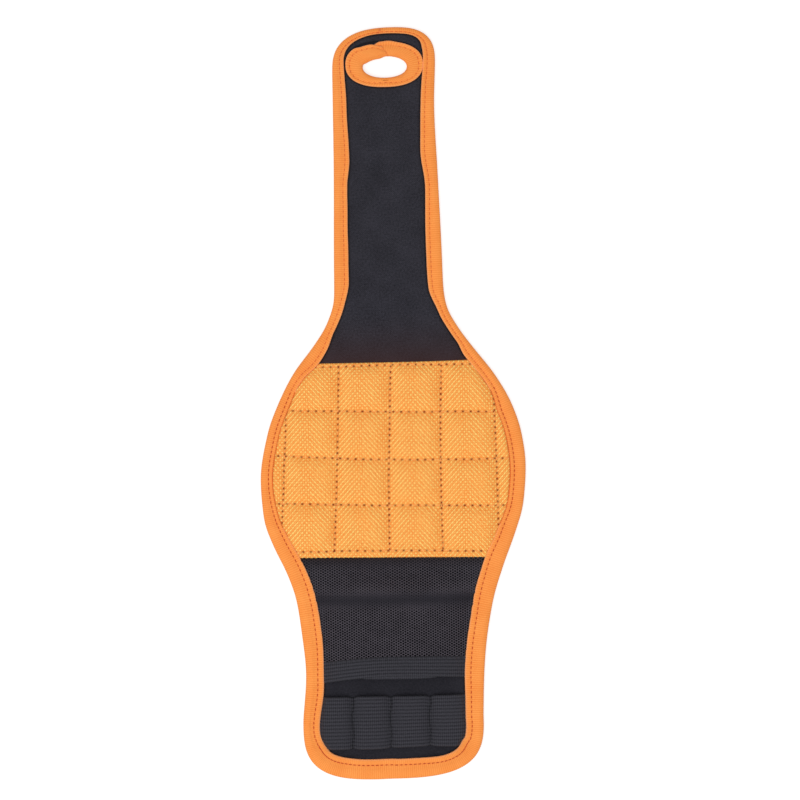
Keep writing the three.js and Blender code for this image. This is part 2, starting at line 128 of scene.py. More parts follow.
def loft(name, rings, uv=None, closed=False, shades=None):
    # Rings of points (along, around, 3) joined ring to ring; the ends are capped unless closed. A ring
    # just inside each cap keeps the cap from tilting the shading where two pieces meet. A closed loft
    # has one uv row more than rings. The uv is x and y unless given.
    def nearEnds(rows):
        first, last = rows[0] + (rows[1] - rows[0]) * 0.02, rows[-1] + (rows[-2] - rows[-1]) * 0.02
        return np.concatenate([rows[:1], first[None], rows[1:-1], last[None], rows[-1:]])

    if uv is None:
        uv = (np.concatenate([rings, rings[:1]]) if closed else rings)[:, :, :2]
    if not closed:
        rings, uv = nearEnds(rings), nearEnds(uv)
        shades = None if shades is None else nearEnds(shades)
    along, around = rings.shape[:2]
    index = np.arange(len(uv) * around).reshape(-1, around)
    quads = tubeFaces(index % (along * around))
    caps = () if closed else (index[0][::-1].tolist(), index[-1].tolist())
    return meshObject(name, rings.reshape(-1, 3), quads, caps, uv.reshape(-1, 2),
                      None if shades is None else shades.ravel(), tubeFaces(index))


def settle(piece, finish, span, nodes=()):
    # gives a piece its finish, hides the CAD nodes it stands for, and lets it ride on one body; a piece of
    # a span only has its place baked in
    piece.data.materials.append(finishes[finish])
    if isinstance(span, str):
        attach(piece, span)
    else:
        start, end = span["bend"]
        start * 0.001
        end * 0.001
        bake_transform(piece)
    if nodes:
        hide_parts(*nodes)


# Materials
class Wire:
    # A value in a material. Sums, products and powers of wires add Math nodes.
    def __init__(self, finish, socket):
        self.finish, self.socket = finish, socket

    def calc(self, operation, *values, **settings):
        return self.finish.node("Math", {"operation": operation, **settings}, dict(enumerate(values)))

    def __add__(self, other):
        return self.calc("ADD", self, other)

    def __sub__(self, other):
        return self.calc("SUBTRACT", self, other)

    def __rsub__(self, other):
        return self.calc("SUBTRACT", other, self)

    def __mul__(self, other):
        return self.calc("MULTIPLY", self, other)

    def __truediv__(self, other):
        return self.calc("DIVIDE", self, other)

    def __pow__(self, other):
        return self.calc("POWER", self, other)

    __radd__ = __add__
    __rmul__ = __mul__

    def sine(self):
        return self.calc("SINE", self)

    def size(self):
        return self.calc("ABSOLUTE", self)

    def clamp(self):
        return self.calc("ADD", self, 0.0, use_clamp=True)

    def wave(self, pitch):
        return (self * (turn / pitch)).sine()

    def beside(self, place, reach):
        # 1 at a place, down to 0 at the reach to either side
        return (1 - (self - place).size() / reach).clamp()


class Finish:
    # A material with one Principled shader and its nodes.
    def __init__(self, name, **inputs):
        self.material = bpy.data.materials.new(name)
        self.material.use_nodes = True
        self.tree = self.material.node_tree
        self.shader = self.tree.nodes["Principled BSDF"]
        self.set(**inputs)

    def node(self, kind, settings, inputs, output=0):
        made = self.tree.nodes.new("ShaderNode" + kind)
        for key, value in settings.items():
            setattr(made, key, value)
        for key, value in inputs.items():
            self.feed(made.inputs[key], value)
        return Wire(self, made.outputs[output])

    def feed(self, socket, value):
        if isinstance(value, Wire):
            self.tree.links.new(value.socket, socket)
        else:
            socket.default_value = value

    def set(self, **inputs):
        for key, value in inputs.items():
            self.feed(self.shader.inputs[key.replace("_", " ")], value)

    def cloth(self):
        # the piece's own flat coordinates in mm: the vector, along and across
        flat = self.node("UVMap", {"uv_map": "cloth"}, {})
        return flat, *(self.node("SeparateXYZ", {}, {0: flat}, output) for output in range(2))

    def shade(self):
        return self.node("Attribute", {"attribute_name": "shade"}, {}, 2)

    def speckle(self, vector, scale, detail=2.0, roughness=0.5):
        inputs = {"Vector": vector, "Scale": scale, "Detail": detail, "Roughness": roughness}
        return self.node("TexNoise", {}, inputs)

    def between(self, share, first, second):
        return self.node("Mix", {"data_type": "RGBA"}, {0: share, 6: first, 7: second}, 2)

    def cover(self, tint, height, rise):
        # sets the colour and a bump, whose rise in mm is that of a height from 0 to 1
        inputs = {"Strength": 1.0, "Distance": rise * 0.001, "Height": height}
        self.set(Base_Color=tint, Normal=self.node("Bump", {}, inputs))
        return self.material


def tapeFinish(name, lipPaintedLight, lipPaintedLightShare):
    # ribs across the tape; painted shade in the stitch groove, its holes and at a lap; a lip with painted
    # light
    # grooveShade, hole and lap are painted shade: in the stitch groove, in the needle holes and at a lap's
    # end
    values = {"ribPitch": 1.0, "ribDepth": 0.13, "stitchAt": 2.0, "stitchPitch": 2.25, "lipAt": 0.2,
              "light": colour(255, 164, 82), "dark": colour(236, 128, 50),
              "grooveShade": colour(226, 108, 52), "hole": colour(150, 52, 28),
              "lap": colour(206, 92, 52)}
    finish = Finish(name, Roughness=0.7, Specular_IOR_Level=0.2)
    flat, along, across = finish.cloth()
    rib = along.wave(values["ribPitch"]) * 0.5 + 0.5
    grain = finish.speckle(flat, 1.6)
    share = (rib * 0.5 + finish.speckle(flat, 0.12, 3.0) * 0.6 + grain * 0.45 - 0.27).clamp()
    tint = finish.between(share, values["dark"], values["light"])
    tint = finish.between(across.beside(values["stitchAt"], 0.45) * 0.16, tint, values["grooveShade"])
    gap = (along * (turn / values["stitchPitch"]) + math.pi / 2).sine() * -1.6
    hole = (gap - 0.4).clamp() * across.beside(values["stitchAt"], 0.3)
    tint = finish.between(hole * 0.15, tint, values["hole"])
    # painted shade from the shade attribute along a lap's end
    tint = finish.between(finish.shade(), tint, values["lap"])
    tint = finish.between(across.beside(values["lipAt"], 0.42) * lipPaintedLightShare, tint, lipPaintedLight)
    return finish.cover(tint, rib * 0.7 + grain * 0.5, values["ribDepth"])


def quiltFinish():
    # plain weave: upright spots where a thread of one way lies on top, set in slanting rows; one slant
    # is stronger to the left in each cell, the other to the right
    values = {"across": 2.15, "along": 2.34, "weaveDepth": 0.18, "cell": 24.6, "cellAt": -2.4,
              "slant": 0.24, "light": colour(255, 209, 118), "middle": colour(255, 180, 90),
              "dark": colour(240, 138, 54), "seam": colour(124, 30, 0)}
    finish = Finish("quilt_weave", Roughness=0.6, Specular_IOR_Level=0.1)
    flat, x, y = finish.cloth()
    shift = finish.speckle(flat, 0.5, 1.0) * 0.5
    first, second = (x + shift) * (turn / values["across"]), (y + shift) * (turn / values["along"])
    lean = (x - values["cellAt"]).wave(values["cell"]) * values["slant"]
    upright = math.pi / 2
    cross = (first - second + upright).sine() * (lean + 0.5)
    cross = cross + (first + second - upright).sine() * (0.5 - lean)
    plain = (finish.speckle(flat, 0.11) * 2.4 - 0.6).clamp()
    over = cross.clamp() * (plain * 0.5 + 0.5)
    under = (cross * -1.0).clamp()
    grain = finish.speckle(flat, 1.1)
    weave = (over * 1.6 + under * 0.3 + (grain - 0.5) * 1.1 + 0.06).clamp()
    tint = finish.between(weave, values["dark"], values["light"])
    patch = finish.speckle(flat, 0.09, 3.0)
    tint = finish.between(0.08 + (patch - 0.5) * 0.4, tint, values["middle"])
    # the seam colour is painted shade in the stitch holes, along the seams and beside the tape
    tint = finish.between(finish.shade(), tint, values["seam"])
    return finish.cover(tint, weave, values["weaveDepth"])


def darkClothFinish(name, dark, light, pitch, depth, sheen, paintedBounceLight=None):
    # fine crossed threads with uneven fuzz; near the panel the cloth is tinted warm with painted reflected
    # light from the quilt
    finish = Finish(name, Roughness=0.9, Specular_IOR_Level=0.15, Sheen_Weight=sheen, Sheen_Roughness=0.5)
    flat, x, y = finish.cloth()
    threads = x.wave(pitch) * y.wave(pitch)
    fuzz = finish.speckle(flat, 1.3, 4.0, 0.7)
    share = (threads * 0.15 + fuzz * 1.7 + finish.speckle(flat, 0.08) * 0.45 - 0.63).clamp()
    tint = finish.between(share, dark, light)
    if paintedBounceLight:
        near = (1 - (y - limits["face"]) / 26.0).clamp() ** 2
        tint = finish.between(near * 0.55, tint, paintedBounceLight)
    # painted shadow beside the tape's lip, from the shade attribute
    tint = finish.between(finish.shade(), tint, colour(9, 7, 10))
    return finish.cover(tint, threads * 0.3 + fuzz, depth)


def netFinish():
    # uneven strands, darker where the net's dense band is; along its upper edge a painted shadow under the
    # quilt, browned by painted reflected light
    values = {"dark": colour(24, 21, 26), "light": colour(106, 100, 109), "dense": colour(25, 24, 31),
              "edge": colour(34, 24, 24), "edgeAt": 72.0, "edgeReach": 6.0}
    finish = Finish("pocket_net", Roughness=0.7, Specular_IOR_Level=0.1)
    flat, _, y = finish.cloth()
    strand = finish.speckle(flat, 2.5)
    share = (strand * 1.2 + finish.speckle(flat, 0.12) * 0.2 - 0.3).clamp()
    tint = finish.between(share, values["dark"], values["light"])
    tint = finish.between(finish.shade() * 0.8, tint, values["dense"])
    # painted shadow under the quilt's lower edge, brown with painted reflected light from the quilt
    near = (1 - (y * -1.0 - values["edgeAt"]) / values["edgeReach"]).clamp() ** 1.5
    return finish.cover(finish.between(near * 0.85, tint, values["edge"]), strand, 0.08)


def elasticFinish():
    values = {"cord": 0.95, "dark": colour(22, 22, 27), "light": colour(62, 61, 68)}
    finish = Finish("ribbed_elastic", Roughness=0.8, Specular_IOR_Level=0.15, Sheen_Weight=0.03)
    flat, along, _ = finish.cloth()
    knit = along.wave(values["cord"])
    fuzz = finish.speckle(flat, 1.5, 3.0, 0.6)
    # the shade attribute paints the rib crests lighter and the grooves between them darker
    share = (knit * 0.2 + fuzz * 1.0 + (finish.shade() - 0.5) * 0.5).clamp()
    return finish.cover(finish.between(share, values["dark"], values["light"]),
                        knit * 0.35 + fuzz * 0.8, 0.12)


def airMeshFinish():
    # rows of small round wells, every second row shifted by half a pitch
    values = {"pitch": 2.6, "dark": colour(16, 16, 19), "light": colour(62, 62, 68)}
    finish = Finish("air_mesh", Roughness=0.8, Sheen_Weight=0.2)
    flat, x, y = finish.cloth()
    cell = x.wave(values["pitch"]) * y.wave(values["pitch"] * 1.5)
    fuzz = finish.speckle(flat, 2.0, 3.0, 0.6)
    well = (cell.size() * 2.4 - 1.3).clamp()
    share = (fuzz * 1.2 - 0.1 - well * 0.8).clamp()
    return finish.cover(finish.between(share, values["dark"], values["light"]), fuzz * 0.3 - well, 0.5)


def threadFinish(name, dark, light):
    finish = Finish(name, Roughness=0.55, Specular_IOR_Level=0.3)
    twist = finish.speckle(finish.node("TexCoord", {}, {}, 3), 1800.0)
    return finish.cover(finish.between((twist * 1.6 - 0.3).clamp(), dark, light), twist, 0.05)


def nickelFinish():
    finish = Finish("magnet_nickel", Metallic=1.0)
    haze = finish.speckle(finish.node("TexCoord", {}, {}, 3), 260.0, 4.0)
    finish.set(Roughness=0.18 + haze * 0.25)
    return finish.cover(colour(196, 194, 188), haze, 0.01)


def hookFinish():
    values = {"pitch": 1.4, "dark": colour(14, 14, 16), "light": colour(40, 40, 44)}
    finish = Finish("hook_nylon", Roughness=0.42)
    flat, x, _ = finish.cloth()
    rows, grain = x.wave(values["pitch"]), finish.speckle(flat, 1.5)
    tint = finish.between((grain + rows * 0.2).clamp(), values["dark"], values["light"])
    return finish.cover(tint, rows * 0.4 + grain * 0.4, 0.08)


finishes = {
    # the lip is painted light: a pale highlight on the strap, and shade beside the quilt
    "tape": tapeFinish("binding_tape", colour(255, 176, 124), 0.6),
    "shadedLipTape": tapeFinish("binding_tape_panel", colour(214, 96, 52), 0.5),
    "quilt": quiltFinish(),
    # the last colour is painted reflected orange light from the quilt
    "strap": darkClothFinish("strap_loop_cloth", colour(16, 16, 21), colour(62, 61, 70), 0.9, 0.2, 0.06,
                             colour(62, 34, 30)),
    "base": darkClothFinish("base_cloth", colour(18, 18, 24), colour(48, 47, 54), 0.5, 0.08, 0.04),
    "net": netFinish(),
    "elastic": elasticFinish(),
    "lining": airMeshFinish(),
    # the real orange thread is coloured darker red than the tape as painted shade of the stitch dents
    "shadedTapeThread": threadFinish("tape_thread_painted_shade", colour(164, 40, 8), colour(200, 72, 24)),
    "shadedStrapThread": threadFinish("strap_thread_painted_shade", colour(182, 64, 26), colour(214, 96, 48)),
    "quiltThread": threadFinish("quilt_thread", colour(242, 150, 76), colour(255, 184, 106)),
    "blackThread": threadFinish("black_thread", colour(16, 16, 19), colour(52, 52, 58)),
    "magnet": nickelFinish(),
    "hook": hookFinish(),
}
print("materials made:", len(finishes))


def curveThrough(points, at):
    # smooth line through a few (place, value) points that never swings past one of them: a cubic between
    # each two, whose slope at a point is the harmonic mean of the two sides', or none where they disagree;
    # level beyond the ends
    place, value = np.array(sorted(points)).T
    rise = np.diff(value) / np.diff(place)
    agree = rise[:-1] * rise[1:]
    middle = 2 * agree.clip(0) / np.where(agree > 0, rise[:-1] + rise[1:], 1)
    slope = np.concatenate([rise[:1], middle, rise[-1:]])
    index = np.clip(np.searchsorted(place, at) - 1, 0, len(place) - 2)
    gap = place[index + 1] - place[index]
    t = np.clip((at - place[index]) / gap, 0, 1)
    return (value[index] * (1 + 2 * t) * (1 - t) ** 2 + value[index + 1] * t ** 2 * (3 - 2 * t)
            + gap * t * (1 - t) * (slope[index] * (1 - t) - slope[index + 1] * t))


# Outer edge
outline = {
    # half widths by height along the band, read square to the band
    "left": [(156, 23.7), (117, 23.8), (66, 24.6), (49, 24.8), (37, 28.4), (27, 34.6), (14, 44.4),
             (0, 51.7), (-14, 57.0), (-36, 60.7), (-54, 59.5), (-66, 55.5), (-80, 48.9), (-92, 45.0),
             (-106, 43.0), (-126, 41.2), (-148, 43.0)],
    "right": [(156, 24.2), (139, 23.5), (106, 24.6), (69, 25.8), (55, 26.1), (46, 27.3), (36, 32.4),
              (25, 40.5), (14, 49.1), (0, 57.0), (-14, 61.4), (-28, 63.0), (-46, 61.6), (-60, 57.5),
              (-75, 51.8), (-92, 46.5), (-115, 42.7), (-130, 41.6), (-148, 41.0)],
    "top": 156.0, "bottom": -148.4, "stations": 2.0, "sideTop": 150.0, "lean": 0.0192,
    # rounded ends: edge x, y where the side ends, middle x, end y, power of the curve
    "tipLeft": (-23.7, 156.5, 5.0, 175.4, 2.52),
    "tipRight": (24.4, 160.0, 5.0, 175.4, 2.75),
    "endLeft": (-43.0, -149.0, -6.0, -175.1, 3.15),
    "endRight": (41.2, -147.0, -6.0, -174.9, 3.2),
    # reach of the smoothing, spacing of the points, and points either way that give the direction
    "softness": 2.5, "step": 0.25, "aside": 4,
}


def roundEnd(edgeX, sideY, middleX, endY, power):
    # a quarter of a superellipse from the middle of the end to the side
    angle = np.linspace(math.pi / 2, 0, 120)
    x = middleX + (edgeX - middleX) * np.cos(angle).clip(0) ** (2 / power)
    y = sideY + (endY - sideY) * np.sin(angle) ** (2 / power)
    return np.stack([x, y], 1)


def lengthAlong(points):
    return np.concatenate([[0], np.cumsum(np.linalg.norm(np.diff(points, axis=0), axis=1))])


def readLine(at, places, points):
    # the points of a line at places along it
    return np.stack([np.interp(at, places, column) for column in points.T], 1)


def evenly(points, step):
    # points at equal steps along a closed line
    closed = np.vstack([points, points[:1]])
    reach = lengthAlong(closed)
    count = int(reach[-1] / step)
    return readLine(np.arange(count) * reach[-1] / count, reach, closed)


def outerEdge():
    # anticlockwise from the middle of the tip: left side, lower end, right side; softened by a
    # Gaussian average along the line
    v = outline
    y = np.arange(v["top"], v["bottom"], -v["stations"])
    halves = []
    for name, sign in (("left", -1), ("right", 1)):
        half = curveThrough(v[name], y)
        points = np.stack([sign * half, y - sign * v["lean"] * half], 1)
        halves.append(points[points[:, 1] < v["sideTop"]])
    line = np.vstack([roundEnd(*v["tipLeft"]), halves[0], roundEnd(*v["endLeft"])[::-1],
                      roundEnd(*v["endRight"]), halves[1][::-1], roundEnd(*v["tipRight"])[::-1]])
    line = evenly(line, v["step"])
    reach = int(4 * v["softness"] / v["step"])
    weight = np.exp(-0.5 * (np.arange(-reach, reach + 1) * v["step"] / v["softness"]) ** 2)
    weight /= weight.sum()
    wrapped = np.vstack([line[-reach:], line, line[:reach]])
    line = np.stack([np.convolve(column, weight, "valid") for column in wrapped.T], 1)
    line = evenly(line, v["step"])
    ahead = unit(np.roll(line, -v["aside"], 0) - np.roll(line, v["aside"], 0))
    return line, np.stack([-ahead[:, 1], ahead[:, 0]], 1)


edge, inward = outerEdge()
edgeAt = np.arange(len(edge)) * outline["step"]
lowest = int(np.argmin(edge[:, 1]))


# Binding tape
tape = {
    # flange width on the face, by y, on the left and the right
    "left": [(175, 3.0), (164, 4.7), (147, 6.15), (130, 6.7), (114, 7.4), (102, 6.3), (84, 6.5),
             (57, 6.95), (46, 5.2), (36, 4.6), (29, 6.2), (23, 6.75), (15, 5.3), (10, 4.9), (2, 5.35),
             (-38, 5.7), (-57, 7.4), (-82, 9.0), (-106, 9.4), (-126, 8.4), (-134, 8.6), (-151, 7.7),
             (-165, 9.5), (-175, 9.6)],
    "right": [(175, 3.0), (167, 5.3), (152, 5.95), (130, 6.75), (117, 7.5), (101, 6.2), (84, 7.0),
              (70, 7.35), (54, 7.0), (44, 4.7), (31, 4.4), (25, 5.65), (10, 5.7), (-3, 7.6), (-42, 7.3),
              (-64, 8.4), (-78, 9.5), (-104, 9.1), (-118, 9.35), (-145, 8.5), (-157, 8.4), (-162, 9.2),
              (-172, 8.5), (-175, 9.5)],
    # how far the stitches lie from the lip, by y, and what a narrow tape leaves of it
    "stitches": [(-200, 2.9), (-90, 2.9), (-60, 2.05), (200, 2.05)], "narrow": (1.75, 3.2, 0.1),
    # place of the lap along the edge, its rise, and the length of the rise before it
    "lap": 6.5, "lapRise": 0.35, "lapLength": (9.0, 6.0),
    "stitchIn": 2.0, "stitchDent": 0.26, "crown": 0.32, "lipCrown": 0.12, "lipLong": 1.7,
    "backShare": 0.92, "wobble": 0.07, "wobblePitch": 19.0, "step": 0.8, "turnIn": 1.6,
    # slow and quick unevenness of its height: size, pitch and seed
    "drift": [(0.1, 23.0, 11), (0.05, 7.0, 12)],
    # the profile of the lip: offsets from it, and how far the first ones drop; half the dent's width
    "offsets": [0.0, 0.06, 0.25, 0.6, 1.0, 1.4, 1.7, 2.0, 2.3, 2.6, 3.0], "lipDrop": (0.62, 0.3, 0.04),
    "dentHalf": 0.42,
    # the lap's end: its slant across the tape and the middle of that, how dark its painted shade is, half
    # its width; and the stretch of y where the tape's lip is painted dark as shade beside the quilt
    "lapEnd": (0.35, 3.0, 0.7, 0.45), "onPanel": (-64, 10),
    # the profile of the inside: how far in and how high; and what the flat tape needs round the edge
    "inside": ([1.0, 0.75, 0.75, 1.0], [0.6, 0.6, 0.9, 2.3, 2.58]), "roundEdge": 3.4,
}
wholeEdge = edgeAt[-1] + outline["step"]


def fromLap(at):
    # place along the edge counted from the tape's lap
    return np.mod(at - tape["lap"], wholeEdge)


edgeWidth = np.where(edge[:, 0] < 0, *(curveThrough(tape[side], edge[:, 1]) for side in ("left", "right")))
edgeWidth = edgeWidth + tape["wobble"] * ripple(fromLap(edgeAt), 0 * edgeAt, tape["wobblePitch"], 5)
narrowest, fullFrom, least = tape["narrow"]
edgeStitch = np.interp(edge[:, 1], *np.transpose(tape["stitches"]))
edgeStitch = edgeStitch * np.clip((edgeWidth - narrowest) / fullFrom, least, 1)


def insetLine(inset):
    return edge + inward * np.reshape(inset, (-1, 1))


def edgesAt(y, inset):
    # x of the inset edge at a height, on the left and on the right
    line = insetLine(inset)
    halves = line[: lowest + 1][::-1], line[lowest:]
    return [np.interp(y, np.maximum.accumulate(half[:, 1]), half[:, 0]) for half in halves]


def insideLip(x, y):
    # distance from the tape's lip, positive inside, by the nearest of the lip's points
    line, way = insetLine(edgeWidth)[::4], inward[::4]
    part = np.abs(line[:, 1] - y.mean()) < np.ptp(y) / 2 + 12
    line, way = line[part], way[part]
    flat = np.stack([x.ravel(), y.ravel()], 1)
    closest = ((flat[:, None] - line[None]) ** 2).sum(2).argmin(1)
    return ((flat - line[closest]) * way[closest]).sum(1).reshape(x.shape)


def tapeDrift(at):
    # unevenness of the tape's height, with the rise on one side of the lap
    place = fromLap(at)
    before, length = tape["lapLength"]
    lap = tape["lapRise"] * smooth((place - wholeEdge + before) / length)
    slow, quick = (size * ripple(place, 0 * at, pitch, seed) for size, pitch, seed in tape["drift"])
    return slow + quick + lap


def tapeRings(foot, direction, width, stitch, at, drift, crown=1.0):
    # The folded tape's closed profile at each point of its edge. From the lip on the face over the
    # rounded fold to the lip on the back, then back along the inside.
    v = tape
    width, rows = width[:, None], np.ones((len(width), 1))
    offsets = np.array(v["offsets"])
    near = width - offsets * (stitch / v["stitchIn"])[:, None]
    lift = v["lipCrown"] * np.sin(np.clip(offsets / v["lipLong"], 0, 1) * math.pi)
    lift = lift - v["stitchDent"] * bell(offsets - v["stitchIn"], v["dentHalf"])
    lift[:3] -= v["lipDrop"]
    share = np.linspace(0, 1, 8)[1:]
    far = near[:, -1:] + (v["turnIn"] - near[:, -1:]) * share
    swell = v["crown"] * crown * np.sin(share * math.pi * 0.9) ** 0.7
    farZ = heights["tape"] + swell * np.clip((near[:, -1:] - v["turnIn"]) / 2, 0, 1)
    angle = np.linspace(90, -90, 11)[1:] * math.pi / 180
    half = heights["tape"] / 2
    back = width * v["backShare"]
    backT = v["turnIn"] + (back - v["turnIn"]) * np.array([0.35, 0.7, 0.93, 1.0])
    insideT, insideZ = v["inside"]
    t = np.concatenate([near, far, v["turnIn"] * (1 - np.cos(angle)) * rows, backT, back,
                        insideT * rows], 1)
    z = np.concatenate([(heights["tape"] + lift) * rows, farZ, half * (1 + np.sin(angle)) * rows,
                        np.array([0.0, 0.0, 0.0, 0.22, *insideZ]) * rows], 1)
    z[:, : len(offsets) + len(share)] += drift[:, None]
    flat = foot[:, None] + direction[:, None] * t[:, :, None]
    run = np.cumsum(np.hypot(np.diff(t, prepend=t[:, :1]), np.diff(z, prepend=z[:, :1])), 1)
    run += offsets[-1] - run[:, len(offsets) - 1:len(offsets)]
    run[:, : len(offsets)] = offsets
    return np.concatenate([flat, z[:, :, None]], 2), np.stack([at[:, None] * np.ones_like(t), run], 2)


def edgeIndex(y, side):
    # place along the outer edge where it crosses a height, on one side
    part = slice(0, lowest + 1) if side < 0 else slice(lowest, None)
    order = np.argsort(edge[part, 1])
    return np.interp(y, edge[part, 1][order], edgeAt[part][order])


def along(values, at):
    # values on the outer edge read at places along it, past the closing point too
    at, places = np.mod(at, wholeEdge), np.append(edgeAt, wholeEdge)
    table = np.concatenate([values, values[:1]])
    return np.interp(at, places, table) if table.ndim == 1 else readLine(at, places, table)


def tapePiece(name, start, end, span, nodes):
    count = max(3, int(round((end - start) / tape["step"])) + 1)
    at = np.linspace(start, end, count)
    width = along(edgeWidth, at)
    rings, uv = tapeRings(along(edge, at), unit(along(inward, at)), width, along(edgeStitch, at), at,
                          tapeDrift(at))
    # the lap's end lies askew across the tape and is a little darker with painted shade
    slant, middle, dark, reach = tape["lapEnd"]
    askew = at[:, None] - wholeEdge - tape["lap"] + slant * (uv[:, :, 1] - middle)
    piece = loft(name, rings, uv, shades=dark * bell(askew, reach))
    low, high = tape["onPanel"]
    onPanel = low < along(edge, at)[:, 1].mean() < high
    # beside the panel the lip is painted dark as shade, elsewhere it is painted light as a highlight
    settle(piece, "shadedLipTape" if onPanel else "tape", span, nodes)
    float(end - start) * 0.001


bodyNodes = {"pocket_section": "pocket", "loop_section": "loop_end"}


def nodeNames(span, part):
    # the CAD nodes of one layer on the two bodies of a span
    return [bodyNodes.get(body, body) + "_" + part for body in span["bodies"]]


# the lengths of tape: start and end along the edge, span and CAD nodes
tapeRuns = {}
for number, span in list(enumerate(spans))[1:-1]:
    for side, sign in (("left", -1), ("right", 1)):
        places = sorted(edgeIndex(span[key], sign) for key in ("top", "bottom"))
        tapeRuns[f"{side}_{number}"] = (*places, span, nodeNames(span, f"binding_{side}"))
tapeRuns["tip"] = (edgeIndex(cuts[1], 1), edgeIndex(cuts[1], -1) + wholeEdge, spans[0],
                   ["strap_tip_binding", "strap_middle_binding_left", "strap_middle_binding_right"])
tapeRuns["end"] = (edgeIndex(cuts[-2], -1), edgeIndex(cuts[-2], 1), spans[-1],
                   ["pocket_binding_left", "pocket_binding_right", "loop_end_binding"])
for name, run in tapeRuns.items():
    tapePiece("edge_tape_" + name, *run)
print("edge tape made, length", round(float(wholeEdge), 1))

# Flat cloths: strap face, base cloth and lining
cloths = {
    # lipWidth, lipShade and lipFrom: width, strength and offset of the painted shadow beside the tape's
    # lip
    "inset": 1.3, "step": 1.5, "across": 130, "lipWidth": 0.6, "lipShade": 0.8, "lipFrom": 0.1,
    # unevenness of the face and of the lining: size, pitch and seed; and how far the face lies low
    "wrinkle": (0.072, 24.0, 21), "liningWrinkle": (0.05, 15.0, 22), "faceSunk": 0.08,
    # height of the lining under the tape's back flange and under the hook patch, how far it falls
    # beside them, and where that starts and over what length; and its height at the tip
    "underTape": (0.62, 0.37, 0.2, 2.0), "underPatch": (1.02, 0.8, 0.1, 1.6), "tipLining": 0.64,
}


def rowsBetween(top, bottom, step, inset, share):
    # rows of points from one inset edge to the other, spaced by the shares
    y = np.linspace(top, bottom, max(3, int(round((top - bottom) / step)) + 1))
    left, right = edgesAt(y, inset)
    x = left[:, None] + (right - left)[:, None] * share
    return x, y[:, None] * np.ones_like(x)


def slab(name, x, y, z, shade):
    # rows of points as a piece that is flat on the lining's side
    shown = np.stack([x, y, z], 2)
    other = shown[:, [-1, 0]].copy()
    other[:, :, 2] = heights["lining"]
    shades = np.concatenate([shade, np.zeros((len(y), 2))], 1)
    return loft(name, np.concatenate([shown, other], 1), shades=shades)


def lipShade(distance):
    # painted shadow: the cloth is painted nearly black right beside a lip of the tape
    return cloths["lipShade"] * bell(distance - cloths["lipFrom"], cloths["lipWidth"])


def clothPiece(name, top, bottom, surface, finish, span, nodes):
    # a cloth between the two inset edges, whose visible side follows surface(x, y)
    share = (1 - np.cos(np.linspace(0, math.pi, cloths["across"]))) / 2
    x, y = rowsBetween(top, bottom, cloths["step"], cloths["inset"], share)
    piece = slab(name, x, y, surface(x, y), lipShade(insideLip(x, y)))
    settle(piece, finish, span, nodes)
    width = x[:, -1] - x[:, 0]
    (top - bottom) * 0.001
    float(np.sum(width[:-1] * -np.diff(y[:, 0]))) * 1e-6


def uneven(values, x, y):
    # a ripple of a size, pitch and seed
    size, pitch, seed = values
    return size * ripple(x, y, pitch, seed)


def faceHeight(x, y):
    return heights["face"] + uneven(cloths["wrinkle"], x, y) - cloths["faceSunk"]


patch = {"halfWidth": 28.0, "low": -160.4, "high": -137.6}


def liningHeight(x, y):
    # the lining's outer side: near the floor in the middle, lifted where the tape's back flange and
    # the hook patch lie over it
    def fall(distance, height, drop, start, length):
        return height - drop * smooth((distance - start) / length)

    left, right = edgesAt(y[:, 0], edgeWidth * tape["backShare"])
    inside = np.minimum(x - left[:, None], right[:, None] - x)
    upper, lower = y - patch["high"], patch["low"] - y
    margin = np.maximum(np.abs(x) - patch["halfWidth"], np.maximum(upper, lower))
    z = np.maximum(fall(inside, *cloths["underTape"]), fall(margin, *cloths["underPatch"]))
    return z + uneven(cloths["liningWrinkle"], x, y)


for number, span in enumerate(spans):
    clothPiece(f"back_lining_{number}", min(span["top"], limits["ring"]),
               max(span["bottom"], limits["end"]), liningHeight, "lining", span,
               nodeNames(span, "lining"))
faceCloths = {
    # upper and lower limit, and CAD nodes; the name ends with the number of the span
    "strap_face_0": (limits["ring"], cuts[1], ["strap_middle_face"]),
    "strap_face_1": (cuts[1], cuts[2], ["strap_middle_face", "strap_root_face"]),
    "strap_face_2": (cuts[2], limits["face"], ["strap_root_face"]),
    "base_cloth_6": (limits["base"], cuts[7], ["pocket_face"]),
    "base_cloth_7": (cuts[7], limits["end"], ["pocket_face", "loop_end_face"]),
}
for name, (top, bottom, nodes) in faceCloths.items():
    clothPiece(name, top, bottom, faceHeight, name.split("_")[0], spans[int(name[-1])], nodes)
print("flat cloths made")

